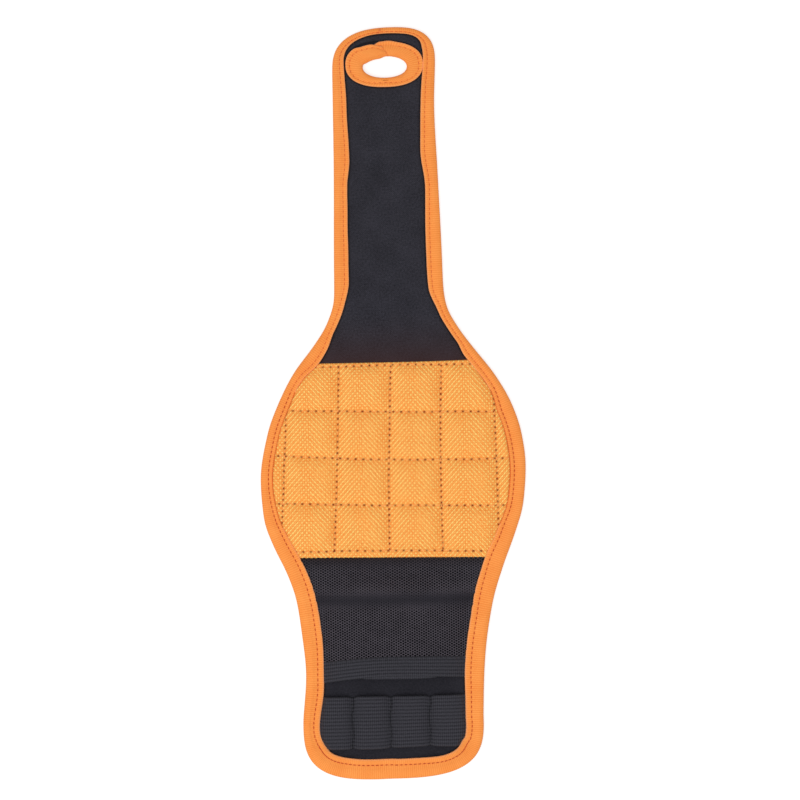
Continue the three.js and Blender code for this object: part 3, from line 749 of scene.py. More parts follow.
# Thumb hole
thumb = {"hole": (0.83, 156.9), "holeSize": (10.25, 5.0), "holePower": 2.1,
         "lip": (0.6, 158.0), "lipSize": (18.1, 10.6), "lipPower": 2.35, "count": 190,
         # the tape starts under its own end: angles of the start, and of the end at the hole and the lip
         "start": 122.0, "endAtHole": 70.0, "endAtLip": 96.0,
         "stitchIn": 2.0, "crown": 0.8, "flatWidth": 16.5,
         # steps along the tape: size, share where it starts, and its length; the end drops from the
         # ovals and lies on top, and the start hides under it
         "turned": (1.0, 0.8, 0.2), "risen": (0.5, 0.8, 0.06), "darkEnd": (0.6, 0.992, 0.008),
         "holeDrop": (1.1, 0.765, 0.045), "holeBack": (0.9, 0.89, 0.085),
         "lipDrop": (0.9, 0.82, 0.05), "lipEnd": (1.3, 0.92, 0.08),
         # the lip's bulge beside the end: size, angle and reach; and how far it lies in at the start,
         # and over what angle; unevenness of the height, and how deep the start is pressed
         "lipBulge": (0.45, 78, 16), "lipStart": (1.7, 22), "drift": (0.08, 9.0, 61),
         "pressed": (0.15, 0.12, 0.1),
         # the cloth round it: rays, points along a ray, flat size in m and area in m2
         "rays": 180, "along": 64, "clothSize": (0.0455, 0.0300), "clothArea": 0.00110}


def ovalPoints(middle, size, power, angle):
    # a superellipse: x and y are the signed powers of cosine and sine
    ring = np.stack([np.cos(angle), np.sin(angle)], -1)
    return middle + size * np.sign(ring) * np.abs(ring) ** (2 / power)


def thumbTape():
    # The tape runs clockwise from under its own end, once round and past its start. Its last stretch
    # turns askew, drops a little towards the hole and lies on top.
    v = thumb
    share = np.linspace(0, 1, v["count"])
    middleEnd = (v["endAtHole"] + v["endAtLip"]) / 2
    angle = v["start"] + share * (middleEnd - 360 - v["start"])

    def step(name):
        size, start, length = v[name]
        return size * smooth((share - start) / length)

    skew = (v["endAtLip"] - v["endAtHole"]) / 2 * step("turned")
    # how much the sides leave their ovals
    holeLift = -step("holeDrop") * (1 - step("holeBack"))
    lipLift = -step("lipDrop") - step("lipEnd")
    bulge, bulgeAt, bulgeReach = v["lipBulge"]
    inAtStart, turnOut = v["lipStart"]
    lipLift = lipLift + bulge * bell(angle - bulgeAt, bulgeReach)
    lipLift = lipLift - inAtStart * (1 - smooth((v["start"] - angle) / turnOut))

    def side(name, sign, lift):
        # points of an oval at the angles, as its own formula bunches them at its ends
        dense = np.radians(np.linspace(-360, 360, 4000))
        ring = ovalPoints((0, 0), v[name + "Size"], v[name + "Power"], dense)
        bearing = np.unwrap(np.arctan2(ring[:, 1], ring[:, 0])) - turn
        points = readLine(np.radians(angle + sign * skew), bearing, ring) + v[name]
        points[:, 1] += lift
        return points

    hole, lip = side("hole", -1, holeLift), side("lip", 1, lipLift)
    width = np.linalg.norm(lip - hole, axis=1)
    direction = unit(lip - hole)
    at = lengthAlong((hole + lip) / 2)
    depth, until, length = v["pressed"]
    drift = uneven(v["drift"], at, 0 * at) + step("risen") - depth * smooth((until - share) / length)
    rings, uv = tapeRings(hole, direction, width, np.full(len(at), v["stitchIn"]), at, drift, v["crown"])
    # the tape's end, where it lies on top, is darkened with painted shade
    shades = step("darkEnd")[:, None] * np.ones_like(rings[:, :, 0])
    piece = loft("thumb_tape", rings, uv, shades=shades)
    settle(piece, "tape", "strap_tip", ["thumb_hole_binding"])
    return lip, direction, at, drift


thumbLine = thumbTape()


def tipCloth(name, surface, finish, node):
    # The cloth round the thumb hole: rays from the hole's middle run from under the thumb tape to
    # under the edge tape, or to the cut below.
    v = thumb
    middle = np.array(v["hole"])
    angle = np.linspace(0, turn, v["rays"], endpoint=False)

    def reachOf(line):
        # distance to a line round the hole's middle, in the direction of each ray
        return np.interp(angle, np.arctan2(line[:, 1], line[:, 0]), np.hypot(*line.T), period=turn)

    def oval(part, wider):
        around = np.linspace(0, turn, 720, endpoint=False)
        return ovalPoints(v[part] - middle, np.add(v[part + "Size"], wider), v[part + "Power"], around)

    line = insetLine(cloths["inset"])
    far = reachOf(line[line[:, 1] > limits["ring"] - 25] - middle)
    far = np.minimum(far, (limits["ring"] - middle[1]) / np.minimum(np.sin(angle), -1e-6))
    near = reachOf(oval("hole", cloths["inset"]))
    reach = near[:, None] + (far - near)[:, None] * np.linspace(0, 1, v["along"])
    x = middle[0] + reach * np.cos(angle)[:, None]
    y = middle[1] + reach * np.sin(angle)[:, None]
    upper = np.stack([x, y, surface(x, y)], 2)
    lower = np.stack([x, y, np.full_like(x, heights["lining"])], 2)[:, ::-1]
    # painted shadow beside the edge tape's lip and the thumb tape's lip
    dark = np.maximum(lipShade(insideLip(x, y)), lipShade(reach - reachOf(oval("lip", 0))[:, None]))
    piece = loft(name, np.concatenate([upper, lower], 1), closed=True,
                 shades=np.concatenate([dark, 0 * dark], 1))
    settle(piece, finish, "strap_tip", [node])


tipCloth("strap_face_tip", faceHeight, "strap", "strap_tip_face")
tipCloth("back_lining_tip", lambda x, y: cloths["tipLining"] + 0 * x, "lining", "strap_tip_lining")
print("thumb hole made")

# Quilted panel
quilt = {
    "top": 19.2, "topRise": 0.00035, "bottom": -71.9, "bottomSlope": -0.014,
    # each seam's place where it crosses the panel's middle, its slope and its bend
    "rows": [(17.9, 0.003, -0.0002), (-3.75, -0.023, 0.0001), (-26.0, -0.029, 0.0004),
             (-47.4, -0.025, 0.00015), (-68.5, -0.014, -0.00025)],
    "columns": [(-49.3, 0.058, 0.0), (-24.8, 0.042, -0.00014), (-0.65, 0.025, 0.0003),
                (23.4, 0.008, 0.00038), (49.3, -0.017, -0.00013)],
    # where that middle is, and the seed of the first seam's wobble
    "rowsFrom": (0.0, 31), "columnsFrom": (-25.0, 41), "wobble": 0.13, "wobblePitch": 30.0,
    "crown": 2.3, "rise": 8.0, "power": 2.3, "edgeRise": 6.0, "seamHeight": 3.1, "rim": 0.16,
    "rowsStitch": 3.6, "columnsStitch": 2.66, "holeDepth": 0.2, "holeLong": 0.58, "holeWide": 0.42,
    "pucker": 0.16, "rowsReach": 2.2, "columnsReach": 1.8,
    "step": 0.34, "across": 356, "tuckedIn": 1.3, "tuckedLow": 0.1, "fill": 0.45,
    # unevenness of the crowns, of the whole surface and of the holes' shade: size, pitch and seed
    "crowns": (0.09, 16.0, 34), "surface": (0.05, 5.0, 35), "shades": (0.25, 9.0, 36),
    # dips beside the tape and at the cut ends: depth and reach
    "tapeDip": (0.2, 0.7), "endDip": (0.9, 0.7),
    # painted shade in the stitch holes, along the seams and beside the tape, with half their widths
    "holeShade": 1.3, "seamShade": 0.08, "seamHalves": (0.5, 0.45), "tapeShade": (0.14, 0.4),
}


def seamAt(way, number, at):
    # y of a row at places in x, or x of a column at places in y
    origin, seed = quilt[way + "From"]
    place, slope, bend = quilt[way][number]
    up = at - origin
    wobble = quilt["wobble"] * ripple(at, 0 * at, quilt["wobblePitch"], seed + number)
    return place + slope * up + bend * up ** 2 + wobble


def nearestSeam(way, place, other):
    # signed distance to the nearest seam of one way
    gaps = np.stack([place - seamAt(way, number, other) for number in range(5)], -1)
    return np.take_along_axis(gaps, np.abs(gaps).argmin(-1)[..., None], -1)[..., 0]


def quiltTop(x):
    return quilt["top"] + quilt["topRise"] * np.clip(x, 0, None) ** 2


def quiltSurface(x, y):
    # Height and painted shade of the quilt: shade in the stitch holes, along the seams and beside the
    # tape.
    # Each cell rises from its seams as 1 - (1 - d / rise)^power, the products of both ways and of the
    # distance from the tape. Outside the first and the last row of sewing the cloth lies nearly flat.
    v = quilt
    fromRow, fromColumn = nearestSeam("rows", y, x), nearestSeam("columns", x, y)
    outside = np.maximum(y - seamAt("rows", 0, x), seamAt("rows", 4, x) - y).clip(0)
    left, right = edgesAt(y[:, 0], edgeWidth)
    slant = np.abs(along(inward[:, 0], edgeIndex(y[:, 0], -1)))
    inside = np.minimum(x - left[:, None], right[:, None] - x) * slant[:, None]

    def lift(distance, rise):
        return 1 - (1 - np.clip(np.abs(distance) / rise, 0, 1)) ** v["power"]

    cells = lift(fromRow, v["rise"]) * lift(fromColumn, v["rise"])
    cells = cells * (0.25 + 0.75 * lift(inside, v["edgeRise"]))
    crown = np.where(outside > 0, v["rim"] * lift(outside, 1.0), cells)
    inCells = (outside == 0) * 1.0

    def pucker(way, gap, place):
        # waves between the stitches, which fade out beside the seam
        wave = np.cos(place * turn / v[way + "Stitch"]) * np.exp(-np.abs(gap) / v[way + "Reach"])
        return v["pucker"] * wave * np.clip(np.abs(gap), 0, 1)

    def holes(way, gap, place):
        pitch = v[way + "Stitch"]
        return bell(gap, v["holeWide"]) * bell(np.mod(place, pitch) - pitch / 2, v["holeLong"])

    hole = np.maximum(holes("rows", fromRow, x), holes("columns", fromColumn, y) * inCells)
    z = v["seamHeight"] + v["crown"] * crown - v["holeDepth"] * hole
    z = z + pucker("rows", fromRow, x) + pucker("columns", fromColumn, y) * inCells
    z = z + uneven(v["crowns"], x, y) * crown + uneven(v["surface"], x, y)
    under = heights["face"] - v["tuckedLow"]
    z = np.where(inside < 0, z + (under - z) * np.maximum(smooth(-inside), 0.9), z)
    depth, reach = v["tapeDip"]
    z = z - depth * bell(inside.clip(0), reach)
    depth, reach = v["endDip"]
    fromEnds = np.minimum(quiltTop(x) - y, y - v["bottom"] - v["bottomSlope"] * x)
    z = z - depth * (1 - np.clip(fromEnds / reach, 0, 1)) ** 2
    rowHalf, columnHalf = v["seamHalves"]
    seam = np.maximum(bell(fromRow, rowHalf), bell(fromColumn, columnHalf) * inCells)
    shade, reach = v["tapeShade"]
    shade = v["seamShade"] * seam + shade * bell(inside.clip(0), reach)
    return z, np.clip(v["holeShade"] * hole * (0.8 + uneven(v["shades"], x, y)) + shade, 0, 1)


def quiltPiece(number, top, bottom, span):
    share = np.linspace(0, 1, quilt["across"])
    x, y = rowsBetween(top, bottom, quilt["step"], edgeWidth - quilt["tuckedIn"], share)
    if bottom == quilt["bottom"]:
        y = y + quilt["bottomSlope"] * x * ((top - y) / (top - bottom)).clip(0, 1)
    if top == quilt["top"]:
        y = y + (quiltTop(x) - top) * ((y - bottom) / (top - bottom)).clip(0, 1)
    piece = slab(f"quilt_{number}", x, y, *quiltSurface(x, y))
    nodes = [node for node in nodeNames(span, "quilt") if node.startswith("panel_row")]
    settle(piece, "quilt", span, nodes)


# upper and lower limit and span of each piece of the quilt
quiltRuns = {number: (min(spans[number]["top"], quilt["top"]),
                      max(spans[number]["bottom"], quilt["bottom"]), spans[number])
             for number in range(2, 7)}
for number, run in quiltRuns.items():
    quiltPiece(number, *run)
print("quilt made")

# Mesh pocket
pocket = {
    "top": -71.3, "bottom": -123.3, "bulge": 5.6, "rise": 16.0, "seam": 3.0, "columns": 46,
    "flatShare": 0.95, "power": 3.4, "lift": 0.35, "pitch": 1.245, "hole": 0.49, "thickness": 0.42,
    # y of a dense band across the net, its reach, and how far it closes the holes
    "denseAt": -91.2, "denseReach": 4.2, "denseClosing": 0.66,
    # how far and over what length the holes close at the top; their width to their height; the first
    # row's distance from the top, how far the net stays inside the tape's edge and goes under the hem
    "topClosing": (0.6, 2.0), "holeShare": 1.12, "firstRow": 0.4, "offEdge": 0.5, "underHem": 1.5,
    # the hem's lower and upper edge: y in the middle, and how far it drops at the left and the right
    "hemLow": (-126.65, 3.0, 1.4), "hemHigh": (-117.4, 2.4, 0.6), "hemHalf": 32.0,
    "hemThickness": 0.75, "hemRibs": 6, "hemDepth": 0.3, "hemStep": 0.7,
    # the net's fold below the hem: an arc's middle, half width and drop; how far it lies in and under
    "arc": (2.5, 17.5, 1.45), "foldIn": 6, "foldSunk": 0.3,
    # unevenness of the bulge, the net's dense band and the holes: size, pitch and seed
    "uneven": (0.12, 18.0, 41), "denseWave": (0.8, 26.0, 43), "holeUneven": (0.04, 4.0, 42),
    # gathers of the hem: size, pitch, seed and squeeze in y; their middle, reach and power
    "gather": (0.22, 4.5, 61, 1.4), "gatherAt": (-1.5, 12.0, 4),
}


def hemEdges(x):
    # lower and upper edge of the hem: parabolas that drop by different amounts to either side
    return [middle - np.where(x < 0, leftDrop, rightDrop) * (x / pocket["hemHalf"]) ** 2
            for middle, leftDrop, rightDrop in (pocket["hemLow"], pocket["hemHigh"])]


def pocketHeight(x, y):
    # the bulge over the base cloth: a rise from the panel's edge times 1 - |x / half width|^power
    v = pocket
    left, right = edgesAt(y, edgeWidth)
    share = (x - (left + right) / 2) / ((right - left) / 2)
    up = smooth((v["top"] - v["seam"] - y) / v["rise"])
    bulge = v["bulge"] * up * np.clip(1 - np.abs(share / v["flatShare"]) ** v["power"], 0, 1)
    return heights["face"] + v["lift"] + bulge + uneven(v["uneven"], x, y) * up


def netPiece():
    # Six-sided cells, each with a six-sided hole: corners of the cells are shared, so the sheet is
    # one net. Columns are staggered by half a pitch.
    v = pocket
    side = v["pitch"] / math.sqrt(3)
    rows = np.arange(0, (v["top"] - v["bottom"]) / v["pitch"]).astype(int)
    columns = np.arange(-v["columns"], v["columns"] + 1)
    row, column = (part.ravel() for part in np.meshgrid(rows, columns, indexing="ij"))
    x = column * side * 1.5
    y = v["top"] - v["firstRow"] - (row + 0.5 * (column % 2)) * v["pitch"]
    left, right = edgesAt(y, edgeWidth - v["offEdge"])
    keep = (x > left + v["offEdge"]) & (x < right - v["offEdge"]) & (y > hemEdges(x)[1] - v["underHem"])
    x, y = x[keep], y[keep]
    angle = np.arange(6) * turn / 6
    ring = np.stack([np.cos(angle), np.sin(angle)], 1)
    middle = np.stack([x, y], 1)[:, None]
    corner = (middle + ring * side).reshape(-1, 2)
    denseAt = v["denseAt"] + uneven(v["denseWave"], x, 0 * x)
    closing, length = v["topClosing"]
    closing = closing * np.clip(1 - (v["top"] - y) / length, 0, 1)
    closing = closing + v["denseClosing"] * bell(y - denseAt, v["denseReach"])
    size = v["hole"] * (1 - closing) * (1 + uneven(v["holeUneven"], x, y))
    hole = middle + ring * (v["holeShare"], 1.0) * size[:, None, None]
    # corners that fall together to 0.02 mm are one
    key = np.round(corner * 50).astype(np.int64)
    _, first, place = np.unique(key, axis=0, return_index=True, return_inverse=True)
    outer = place.reshape(-1, 6)
    inner = len(first) + np.arange(len(x) * 6).reshape(-1, 6)
    flat = np.vstack([corner[first], hole.reshape(-1, 2)])
    upper = np.column_stack([flat, pocketHeight(flat[:, 0], flat[:, 1]) + v["thickness"] / 2])
    quads = np.stack([outer, np.roll(outer, -1, 1), np.roll(inner, -1, 1), inner], 2).reshape(-1, 4)
    edges = np.concatenate([quads[:, [here, (here + 1) % 4]] for here in range(4)])
    _, firstEdge, times = np.unique(np.sort(edges, 1), axis=0, return_index=True, return_counts=True)
    rim = edges[firstEdge[times == 1]]
    count = len(flat)
    walls = np.stack([rim[:, 1], rim[:, 0], rim[:, 0] + count, rim[:, 1] + count], 1)
    points = np.vstack([upper, upper - np.array([0, 0, v["thickness"]])])
    quads = np.vstack([quads, quads[:, ::-1] + count, walls])
    piece = meshObject("mesh_pocket_net", points, quads, uv=points[:, :2],
                       shades=bell(points[:, 1] - v["denseAt"], v["denseReach"]))
    settle(piece, "net", spans[6], ["mesh_pocket"])
    print("net holes:", len(x), "triangles:", len(quads) * 2)


ribbed = {"perRib": 8, "roundEnds": 2.2, "endShare": 0.35, "lipPaintedLightShare": 0.3, "lipReach": 1.3}


def ribbedBand(name, edges, left, right, floorAt, thickness, ribs, depth, step, dark=None):
    # An elastic band that runs across: at each x its profile goes up over the ribs on the outside,
    # |sin| of the place across the band, and back flat on the inside. Towards the tape's lip it
    # thins out, and it goes on under the tape.
    v = ribbed
    x = np.linspace(left, right, int((right - left) / step) + 2)
    share = np.linspace(0, 1, ribs * v["perRib"] + 1)
    lowAt, highAt = edges(x)
    y = lowAt[:, None] + (highAt - lowAt)[:, None] * share
    grid = x[:, None] * np.ones_like(y)
    inner = insideLip(grid, y)
    under = floorAt(grid, y, inner)
    rib = np.abs(np.sin(share * ribs * math.pi))
    roundOff = np.clip(np.minimum(share, 1 - share) * ribs * v["roundEnds"], 0, 1) ** 0.5
    thin = v["lipPaintedLightShare"] + (1 - v["lipPaintedLightShare"]) * smooth(inner / v["lipReach"])
    rise = thickness * (v["endShare"] + (1 - v["endShare"]) * roundOff) + depth * rib * roundOff
    upper = np.stack([grid, y, under + rise * thin], 2)
    lower = np.stack([grid, y, under], 2)[:, ::-v["perRib"]]
    # the rib crests are painted lighter and the grooves darker, as painted light and shade; dark() darkens
    # the seams
    light = rib - (dark(grid, y) if dark else 0 * y)
    shades = np.concatenate([light, np.zeros(lower.shape[:2])], 1)
    return loft(name, np.concatenate([upper, lower], 1), shades=shades)


def hemPiece():
    # the hem and, a little lower in the middle, the net's folded edge that shows under it
    v = pocket
    left, right = edgesAt(v["hemLow"][0] + 5, edgeWidth - 1.2)

    def bandFloor(x, y, inner, sunk=0.0):
        raised = (pocketHeight(x, y) - 0.1 - sunk - heights["face"]) * smooth((inner + 0.1) / 1.6)
        *values, squeeze = v["gather"]
        middle, reach, power = v["gatherAt"]
        gather = uneven(values, x, y * squeeze) * np.exp(-((x - middle) / reach) ** power)
        return heights["face"] - 0.05 + raised + gather

    def underEdges(x):
        # an arc below the hem's lower edge
        low, (middle, half, drop) = hemEdges(x)[0], v["arc"]
        return low - drop * np.clip(1 - ((x - middle) / half) ** 2, 0, 1) ** 0.5 + 0.05, low + 1.2

    hem = ribbedBand("pocket_hem_band", hemEdges, left, right, bandFloor, v["hemThickness"], v["hemRibs"],
                     v["hemDepth"], v["hemStep"])
    settle(hem, "elastic", "pocket_section", ["pocket_hem"])
    under = ribbedBand("pocket_hem_under", underEdges, left + v["foldIn"], right - v["foldIn"],
                       lambda x, y, inner: bandFloor(x, y, inner, v["foldSunk"]), 0.5, 1, 0.1, 0.9)
    settle(under, "elastic", "pocket_section")


netPiece()
hemPiece()
print("pocket made")

# Tool loops
loops = {"low": -160.3, "lowSlope": 0.02, "high": -136.0, "seams": [-19.8, -2.1, 16.1], "rise": 2.3,
         "power": 3.0, "thickness": 0.8, "ribs": 15, "depth": 0.26, "seamHalf": 0.4, "pull": 0.6,
         "step": 0.3, "wave": (0.2, 0.16), "sunk": 0.04, "toLip": (0.1, 1.8), "pullReach": 1.5,
         # how the loops differ in height, how they sag to the edges, and their unevenness
         "differ": (0.08, 2.3), "sag": (0.06, 12.0), "uneven": (0.15, 14.0, 51),
         # the dark seams: shade, half width and their wobble
         "seamDark": (1.1, 0.38), "seamWobble": (0.4, 12.0, 52)}


def fromSeam(x):
    return np.abs(x[..., None] - np.array(loops["seams"])).min(-1)


def loopsPiece():
    v = loops
    middle = (v["low"] + v["high"]) / 2
    left, right = edgesAt(middle, edgeWidth - 1.4)
    stops = np.array([left + 1.4, *v["seams"], right - 1.4])

    def floorAt(x, y, inner):
        # between two seams the band rises as 1 - |t|^power
        slot = np.clip(np.searchsorted(stops, x) - 1, 0, len(stops) - 2)
        start, end = stops[slot] + v["seamHalf"], stops[slot + 1] - v["seamHalf"]
        t = np.clip((x - (start + end) / 2) / ((end - start) / 2), -1, 1)
        differ, turned = v["differ"]
        rise = v["rise"] * (1 + differ * np.sin(slot * turned)) * (1 - np.abs(t) ** v["power"])
        drop, reach = v["sag"]
        sag = 1 - drop * ((y - middle) / reach) ** 2
        lift = rise * sag + uneven(v["uneven"], x, y) * (1 - t ** 4)
        outside, length = v["toLip"]
        return heights["face"] - v["sunk"] + lift * smooth((inner + outside) / length)

    def edges(x):
        # the sewing pulls both edges in a little
        pull = v["pull"] * bell(fromSeam(x), v["pullReach"])
        size, turned = v["wave"]
        wave = size * np.sin(x * turned)
        return v["low"] + v["lowSlope"] * x + wave + 0.5 * pull, v["high"] - 0.5 * wave - pull

    def dark(x, y):
        shade, half = v["seamDark"]
        return shade * bell(fromSeam(x + uneven(v["seamWobble"], y, 0 * y)), half)

    piece = ribbedBand("tool_loop_band", edges, left, right, floorAt, v["thickness"], v["ribs"],
                       v["depth"], v["step"], dark)
    settle(piece, "elastic", "loop_section", ["tool_loops"])


loopsPiece()
print("tool loops made")


# Hook patch
def hookPlate():
    # a thin plate with rounded corners
    v = {"corner": 14.0, "chamfer": 0.1, "narrow": 0.97, "low": 0.55, "high": 1.0, "around": 120}
    middle = np.array([0.0, (patch["low"] + patch["high"]) / 2])
    half = (patch["halfWidth"], (patch["high"] - patch["low"]) / 2)
    rim = ovalPoints(middle, half, v["corner"], np.linspace(0, turn, v["around"], endpoint=False))
    levels = [(v["narrow"], v["low"]), (1.0, v["low"] + v["chamfer"]), (1.0, v["high"]),
              (v["narrow"], v["high"])]
    rings = [np.column_stack([middle + (rim - middle) * scale, np.full(len(rim), z)])
             for scale, z in levels]
    settle(loft("hook_plate", np.stack(rings)), "hook", "loop_section", ["hook_patch"])


def hookStems():
    # rows of bent stems on the plate's outer side, which lean to either side in turns
    v = {"pitch": 1.5, "size": 0.16, "from": 1.6, "to": 1.4, "around": 4}
    halfX = patch["halfWidth"]
    across = np.arange(-halfX + v["from"], halfX - v["to"], v["pitch"])
    up = np.arange(patch["low"] + v["from"], patch["high"] - v["to"], v["pitch"])
    x, y = (part.ravel() for part in np.meshgrid(across, up))
    sway = np.where((np.arange(len(x)) // len(across)) % 2 == 0, 1.0, -1.0)
    path = np.array([[0, 0.6], [0.02, 0.3], [0.12, 0.08], [0.3, 0.02], [0.42, 0.12]])
    size = (np.array([1.0, 0.9, 0.8, 0.7, 0.35]) * v["size"])[:, None]
    angle = np.arange(v["around"]) * turn / v["around"] + turn / 8
    stem = np.stack([path[:, :1] + size * np.cos(angle) * 0.8, size * np.sin(angle),
                     path[:, 1:] + size * np.cos(angle) * 0.5], 2)
    stem[:, :, 2] = stem[:, :, 2].clip(0)
    points = np.tile(stem.reshape(1, -1, 3), (len(x), 1, 1))
    points[:, :, 0] = points[:, :, 0] * sway[:, None] + x[:, None]
    points[:, :, 1] += y[:, None]
    index = np.arange(len(path) * v["around"]).reshape(len(path), v["around"])
    quads = np.vstack([tubeFaces(index), index[:1, ::-1], index[-1:]])
    offset = (np.arange(len(x)) * index.size)[:, None, None]
    turned = np.where(sway[:, None, None] > 0, quads, quads[:, ::-1])
    points = points.reshape(-1, 3)
    hooks = meshObject("hook_stems", points, (turned + offset).reshape(-1, 4), uv=points[:, :2])
    settle(hooks, "hook", "loop_section")


hookPlate()
hookStems()
print("hook patch made")

# Sewing
sewing = {
    # lengths and radii of the stitches, and the height of the tape's back row
    "tapePitch": 2.25, "tapeStitch": (1.35, 0.19), "backHeight": 0.02, "overDent": 0.1,
    # thread on the strap, and how much deeper it is pulled in
    "strap": ("shadedStrapThread", 0.15), "thumbFrom": 10.0, "thumbTo": 1.0,
    "quiltRadius": 0.19, "quiltGap": 0.8, "quiltSink": 0.3, "overSeam": 0.12,
    "blackPitch": 2.3, "loopStitch": (1.7, 0.18), "loopFrom": 2.0, "loopTo": 1.0, "overLoops": 0.1,
    "hemStitch": (1.6, 0.16), "hemRun": (-29, 32), "overHem": 0.24,
    # the quilt's stitches of one seam counted from 0, and how far a seam stays off the tape's lip
    "rows": (-18, 19, 1.2), "columns": (-30, 10, 1.0), "offRows": 0.8,
}


def capsules(name, middle, direction, size, finish, span, sink=0.12):
    # Short stitches of one length and radius: seven-ring rods whose ends taper and dip into the cloth.
    length, radius = size
    share = np.array([-1, -0.86, -0.5, 0, 0.5, 0.86, 1.0])
    around = radius * np.array([0.25, 0.75, 1, 1, 1, 0.75, 0.25])[:, None]
    ring = np.arange(6) * turn / 6
    direction = unit(direction)
    side = np.stack([-direction[:, 1], direction[:, 0]], 1)
    ahead = middle[:, None, :2] + direction[:, None] * (share * length / 2)[:, None]
    flat = ahead[:, :, None] + side[:, None, None] * (around * np.cos(ring))[:, :, None]
    z = middle[:, None, None, 2] - (sink * np.abs(share) ** 3)[:, None] + around * np.sin(ring)
    index = np.arange(42).reshape(7, 6)
    ends = [[3, 2, 1, 0], [5, 4, 3, 0], [36, 37, 38, 39], [36, 39, 40, 41]]
    quads = np.vstack([tubeFaces(index), ends])
    offset = (np.arange(len(middle)) * index.size)[:, None, None]
    points = np.concatenate([flat, z[..., None]], 3).reshape(-1, 3)
    piece = meshObject(name, points, (quads + offset).reshape(-1, 4), uv=points[:, :2])
    settle(piece, finish, span)


def stitchesAt(start, end):
    # places of the tape's stitches between two places
    pitch = sewing["tapePitch"]
    return np.arange(math.ceil(start / pitch) * pitch, end, pitch)


def sewLine(name, flat, outward, drift, span, thread="shadedTapeThread", sunk=0.0):
    # stitches on the face, and the same row again on the back
    z = heights["tape"] - tape["stitchDent"] + sewing["overDent"] + drift - sunk
    back = np.full(len(flat), sewing["backHeight"])
    points = np.vstack([np.column_stack([flat, z]), np.column_stack([flat, back])])
    run = np.stack([outward[:, 1], -outward[:, 0]], 1)
    capsules(name, points, np.vstack([run, run]), sewing["tapeStitch"], thread, span, 0)


for name, (start, end, span, nodes) in tapeRuns.items():
    at = stitchesAt(start, end)
    direction = unit(along(inward, at))
    flat = along(edge, at) + direction * (along(edgeWidth, at) - along(edgeStitch, at))[:, None]
    sewLine("edge_stitches_" + name, flat, direction, tapeDrift(at), span,
            *(sewing["strap"] if span in spans[:3] else ()))


def thumbSewing():
    lip, direction, place, drift = thumbLine
    at = stitchesAt(sewing["thumbFrom"], place[-1] - sewing["thumbTo"])
    lip, direction = readLine(at, place, lip), readLine(at, place, direction)
    sewLine("thumb_stitches", lip - direction * thumb["stitchIn"], direction,
            np.interp(at, place, drift), "strap_tip", *sewing["strap"])


def blackSewing():
    # three short seams that part the loops, and one along the top of the pocket's hem
    length = loops["high"] - loops["low"] - sewing["loopFrom"] - sewing["loopTo"]
    place = np.arange(int(length / sewing["blackPitch"])) * sewing["blackPitch"]
    z = heights["face"] + loops["thickness"] + sewing["overLoops"]
    points = [(x, y, z) for x in loops["seams"] for y in loops["low"] + sewing["loopFrom"] + place]
    capsules("loop_stitches", np.array(points), np.tile([(0.0, 1.0)], (len(points), 1)),
             sewing["loopStitch"], "blackThread", "loop_section")
    x = np.arange(*sewing["hemRun"], sewing["blackPitch"])
    low, high = hemEdges(x)
    y = high - (high - low) / (2 * pocket["hemRibs"])
    z = pocketHeight(x, y) - 0.1 + pocket["hemThickness"] + sewing["overHem"]
    capsules("hem_stitches", np.column_stack([x, y, z]), np.tile([(1.0, 0.0)], (len(x), 1)),
             sewing["hemStitch"], "blackThread", "pocket_section")


def quiltSewing(number, top, bottom, span):
    # a thread between every two holes of the quilt's seams
    v = quilt
    for way, run in (("rows", (1.0, 0.0)), ("columns", (0.0, 1.0))):
        first, last, margin = sewing[way]
        at = np.arange(first, last) * v[way + "Stitch"]
        found = []
        for seam in range(5):
            x, y = (at, seamAt(way, seam, at)) if way == "rows" else (seamAt(way, seam, at), at)
            left, right = edgesAt(y, edgeWidth)
            keep = (x > left + margin) & (x < right - margin) & (y >= bottom) & (y < top)
            if way == "columns":
                upper, lower = seamAt("rows", 0, x), seamAt("rows", 4, x)
                keep &= (y < upper - sewing["offRows"]) & (y > lower + sewing["offRows"])
            found.append(np.column_stack([x, y])[keep])
        flat = np.vstack(found)
        points = np.column_stack([flat, np.full(len(flat), v["seamHeight"] + sewing["overSeam"])])
        capsules(f"quilt_stitches_{way}_{number}", points, np.tile([run], (len(flat), 1)),
                 (v[way + "Stitch"] - sewing["quiltGap"], sewing["quiltRadius"]), "quiltThread", span,
                 sewing["quiltSink"])


thumbSewing()
blackSewing()
for number, run in quiltRuns.items():
    quiltSewing(number, *run)
print("sewing made")

for name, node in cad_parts.items():
    if name.startswith("magnet_"):
        node.data.materials.clear()
        node.data.materials.append(finishes["magnet"])

# Floor, light and camera; lengths here are metres
stage = {"floorHalf": 3.0, "floorGap": 0.0002, "white": 0.5, "glow": 0.6, "worldStrength": 0.61,
         "lampPower": 13.0, "lampSize": 1.3, "lampPlace": (-0.3, -0.4, 1.4),
         "lens": 135.0, "sensor": 36.0, "clipEnd": 20.0,
         "cameraPlace": (0.00497, 0.001535, 1.4), "cameraTurn": -1.1}


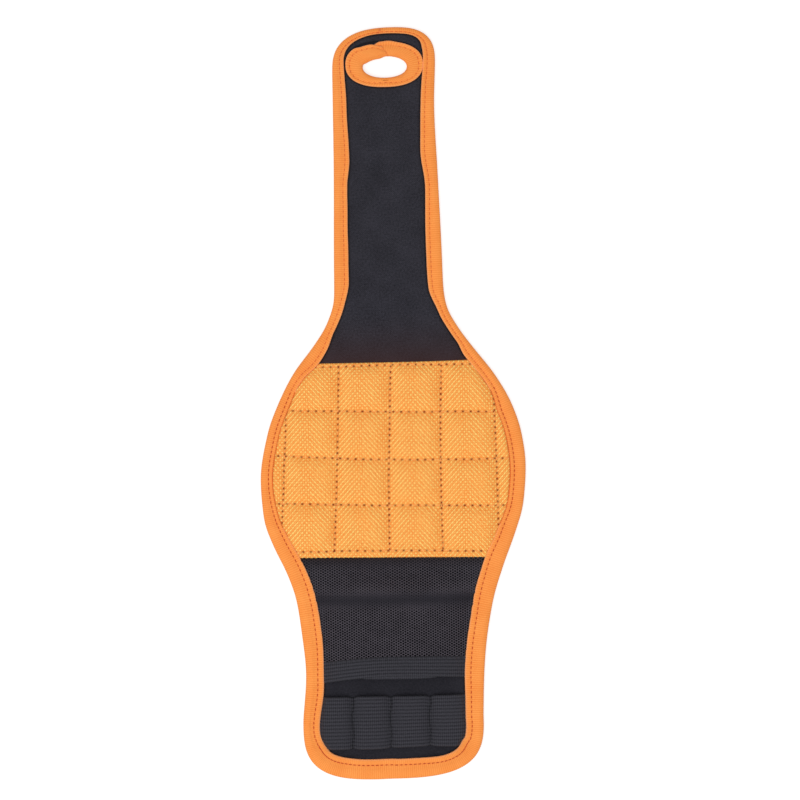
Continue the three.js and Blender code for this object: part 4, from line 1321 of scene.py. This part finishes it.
def makeFloor():
    finish = Finish("pale_floor", Roughness=1.0, Base_Color=(0.8, 0.8, 0.8, 1.0))
    seen = finish.node("LightPath", {}, {}, 0)
    gloss = finish.node("LightPath", {}, {}, 3)
    through = finish.node("LightPath", {}, {}, 6)
    white = finish.node("BsdfDiffuse", {}, {"Color": (stage["white"],) * 3 + (1.0,)})
    glow = finish.node("Emission", {}, {"Color": (1.0, 1.0, 1.0, 1.0), "Strength": stage["glow"]})
    both = finish.node("AddShader", {}, {0: white, 1: glow})
    plain = Wire(finish, finish.shader.outputs[0])
    mixed = finish.node("MixShader", {}, {0: (seen + gloss + through).clamp(), 1: plain, 2: both})
    finish.tree.links.new(mixed.socket, finish.tree.nodes["Material Output"].inputs["Surface"])
    half, low = stage["floorHalf"], -stage["floorGap"]
    mesh = bpy.data.meshes.new("floor")
    mesh.from_pydata([(-half, -half, low), (half, -half, low), (half, half, low), (-half, half, low)],
                     [], [(0, 1, 2, 3)])
    floor = bpy.data.objects.new("floor", mesh)
    floor.data.materials.append(finish.material)
    bpy.context.scene.collection.objects.link(floor)


def makeLight():
    world = bpy.data.worlds.new("studio")
    world.use_nodes = True
    # it lights with worldStrength, and past the floor the camera sees it white
    nodes, background = world.node_tree.nodes, world.node_tree.nodes["Background"]
    background.inputs["Color"].default_value = (1.0, 1.0, 1.0, 1.0)
    strength = nodes.new("ShaderNodeMath")
    strength.operation = "MULTIPLY_ADD"
    strength.inputs[1].default_value = 1 - stage["worldStrength"]
    strength.inputs[2].default_value = stage["worldStrength"]
    seen = nodes.new("ShaderNodeLightPath").outputs["Is Camera Ray"]
    world.node_tree.links.new(seen, strength.inputs[0])
    world.node_tree.links.new(strength.outputs[0], background.inputs["Strength"])
    bpy.context.scene.world = world
    lamp = bpy.data.lights.new("soft_box", "AREA")
    lamp.energy, lamp.size = stage["lampPower"], stage["lampSize"]
    holder = bpy.data.objects.new("soft_box", lamp)
    holder.location = stage["lampPlace"]
    aim = np.array(stage["lampPlace"])
    holder.rotation_euler = (math.atan2(math.hypot(aim[0], aim[1]), aim[2]), 0,
                             math.atan2(aim[1], aim[0]) + math.pi / 2)
    bpy.context.scene.collection.objects.link(holder)


def makeCamera():
    data = bpy.data.cameras.new("camera")
    data.lens, data.sensor_width, data.clip_end = stage["lens"], stage["sensor"], stage["clipEnd"]
    camera = bpy.data.objects.new("camera", data)
    camera.location = stage["cameraPlace"]
    camera.rotation_euler = (0, 0, math.radians(stage["cameraTurn"]))
    bpy.context.scene.collection.objects.link(camera)
    bpy.context.scene.camera = camera


makeFloor()
makeLight()
makeCamera()
bpy.context.scene.view_settings.view_transform = "Standard"
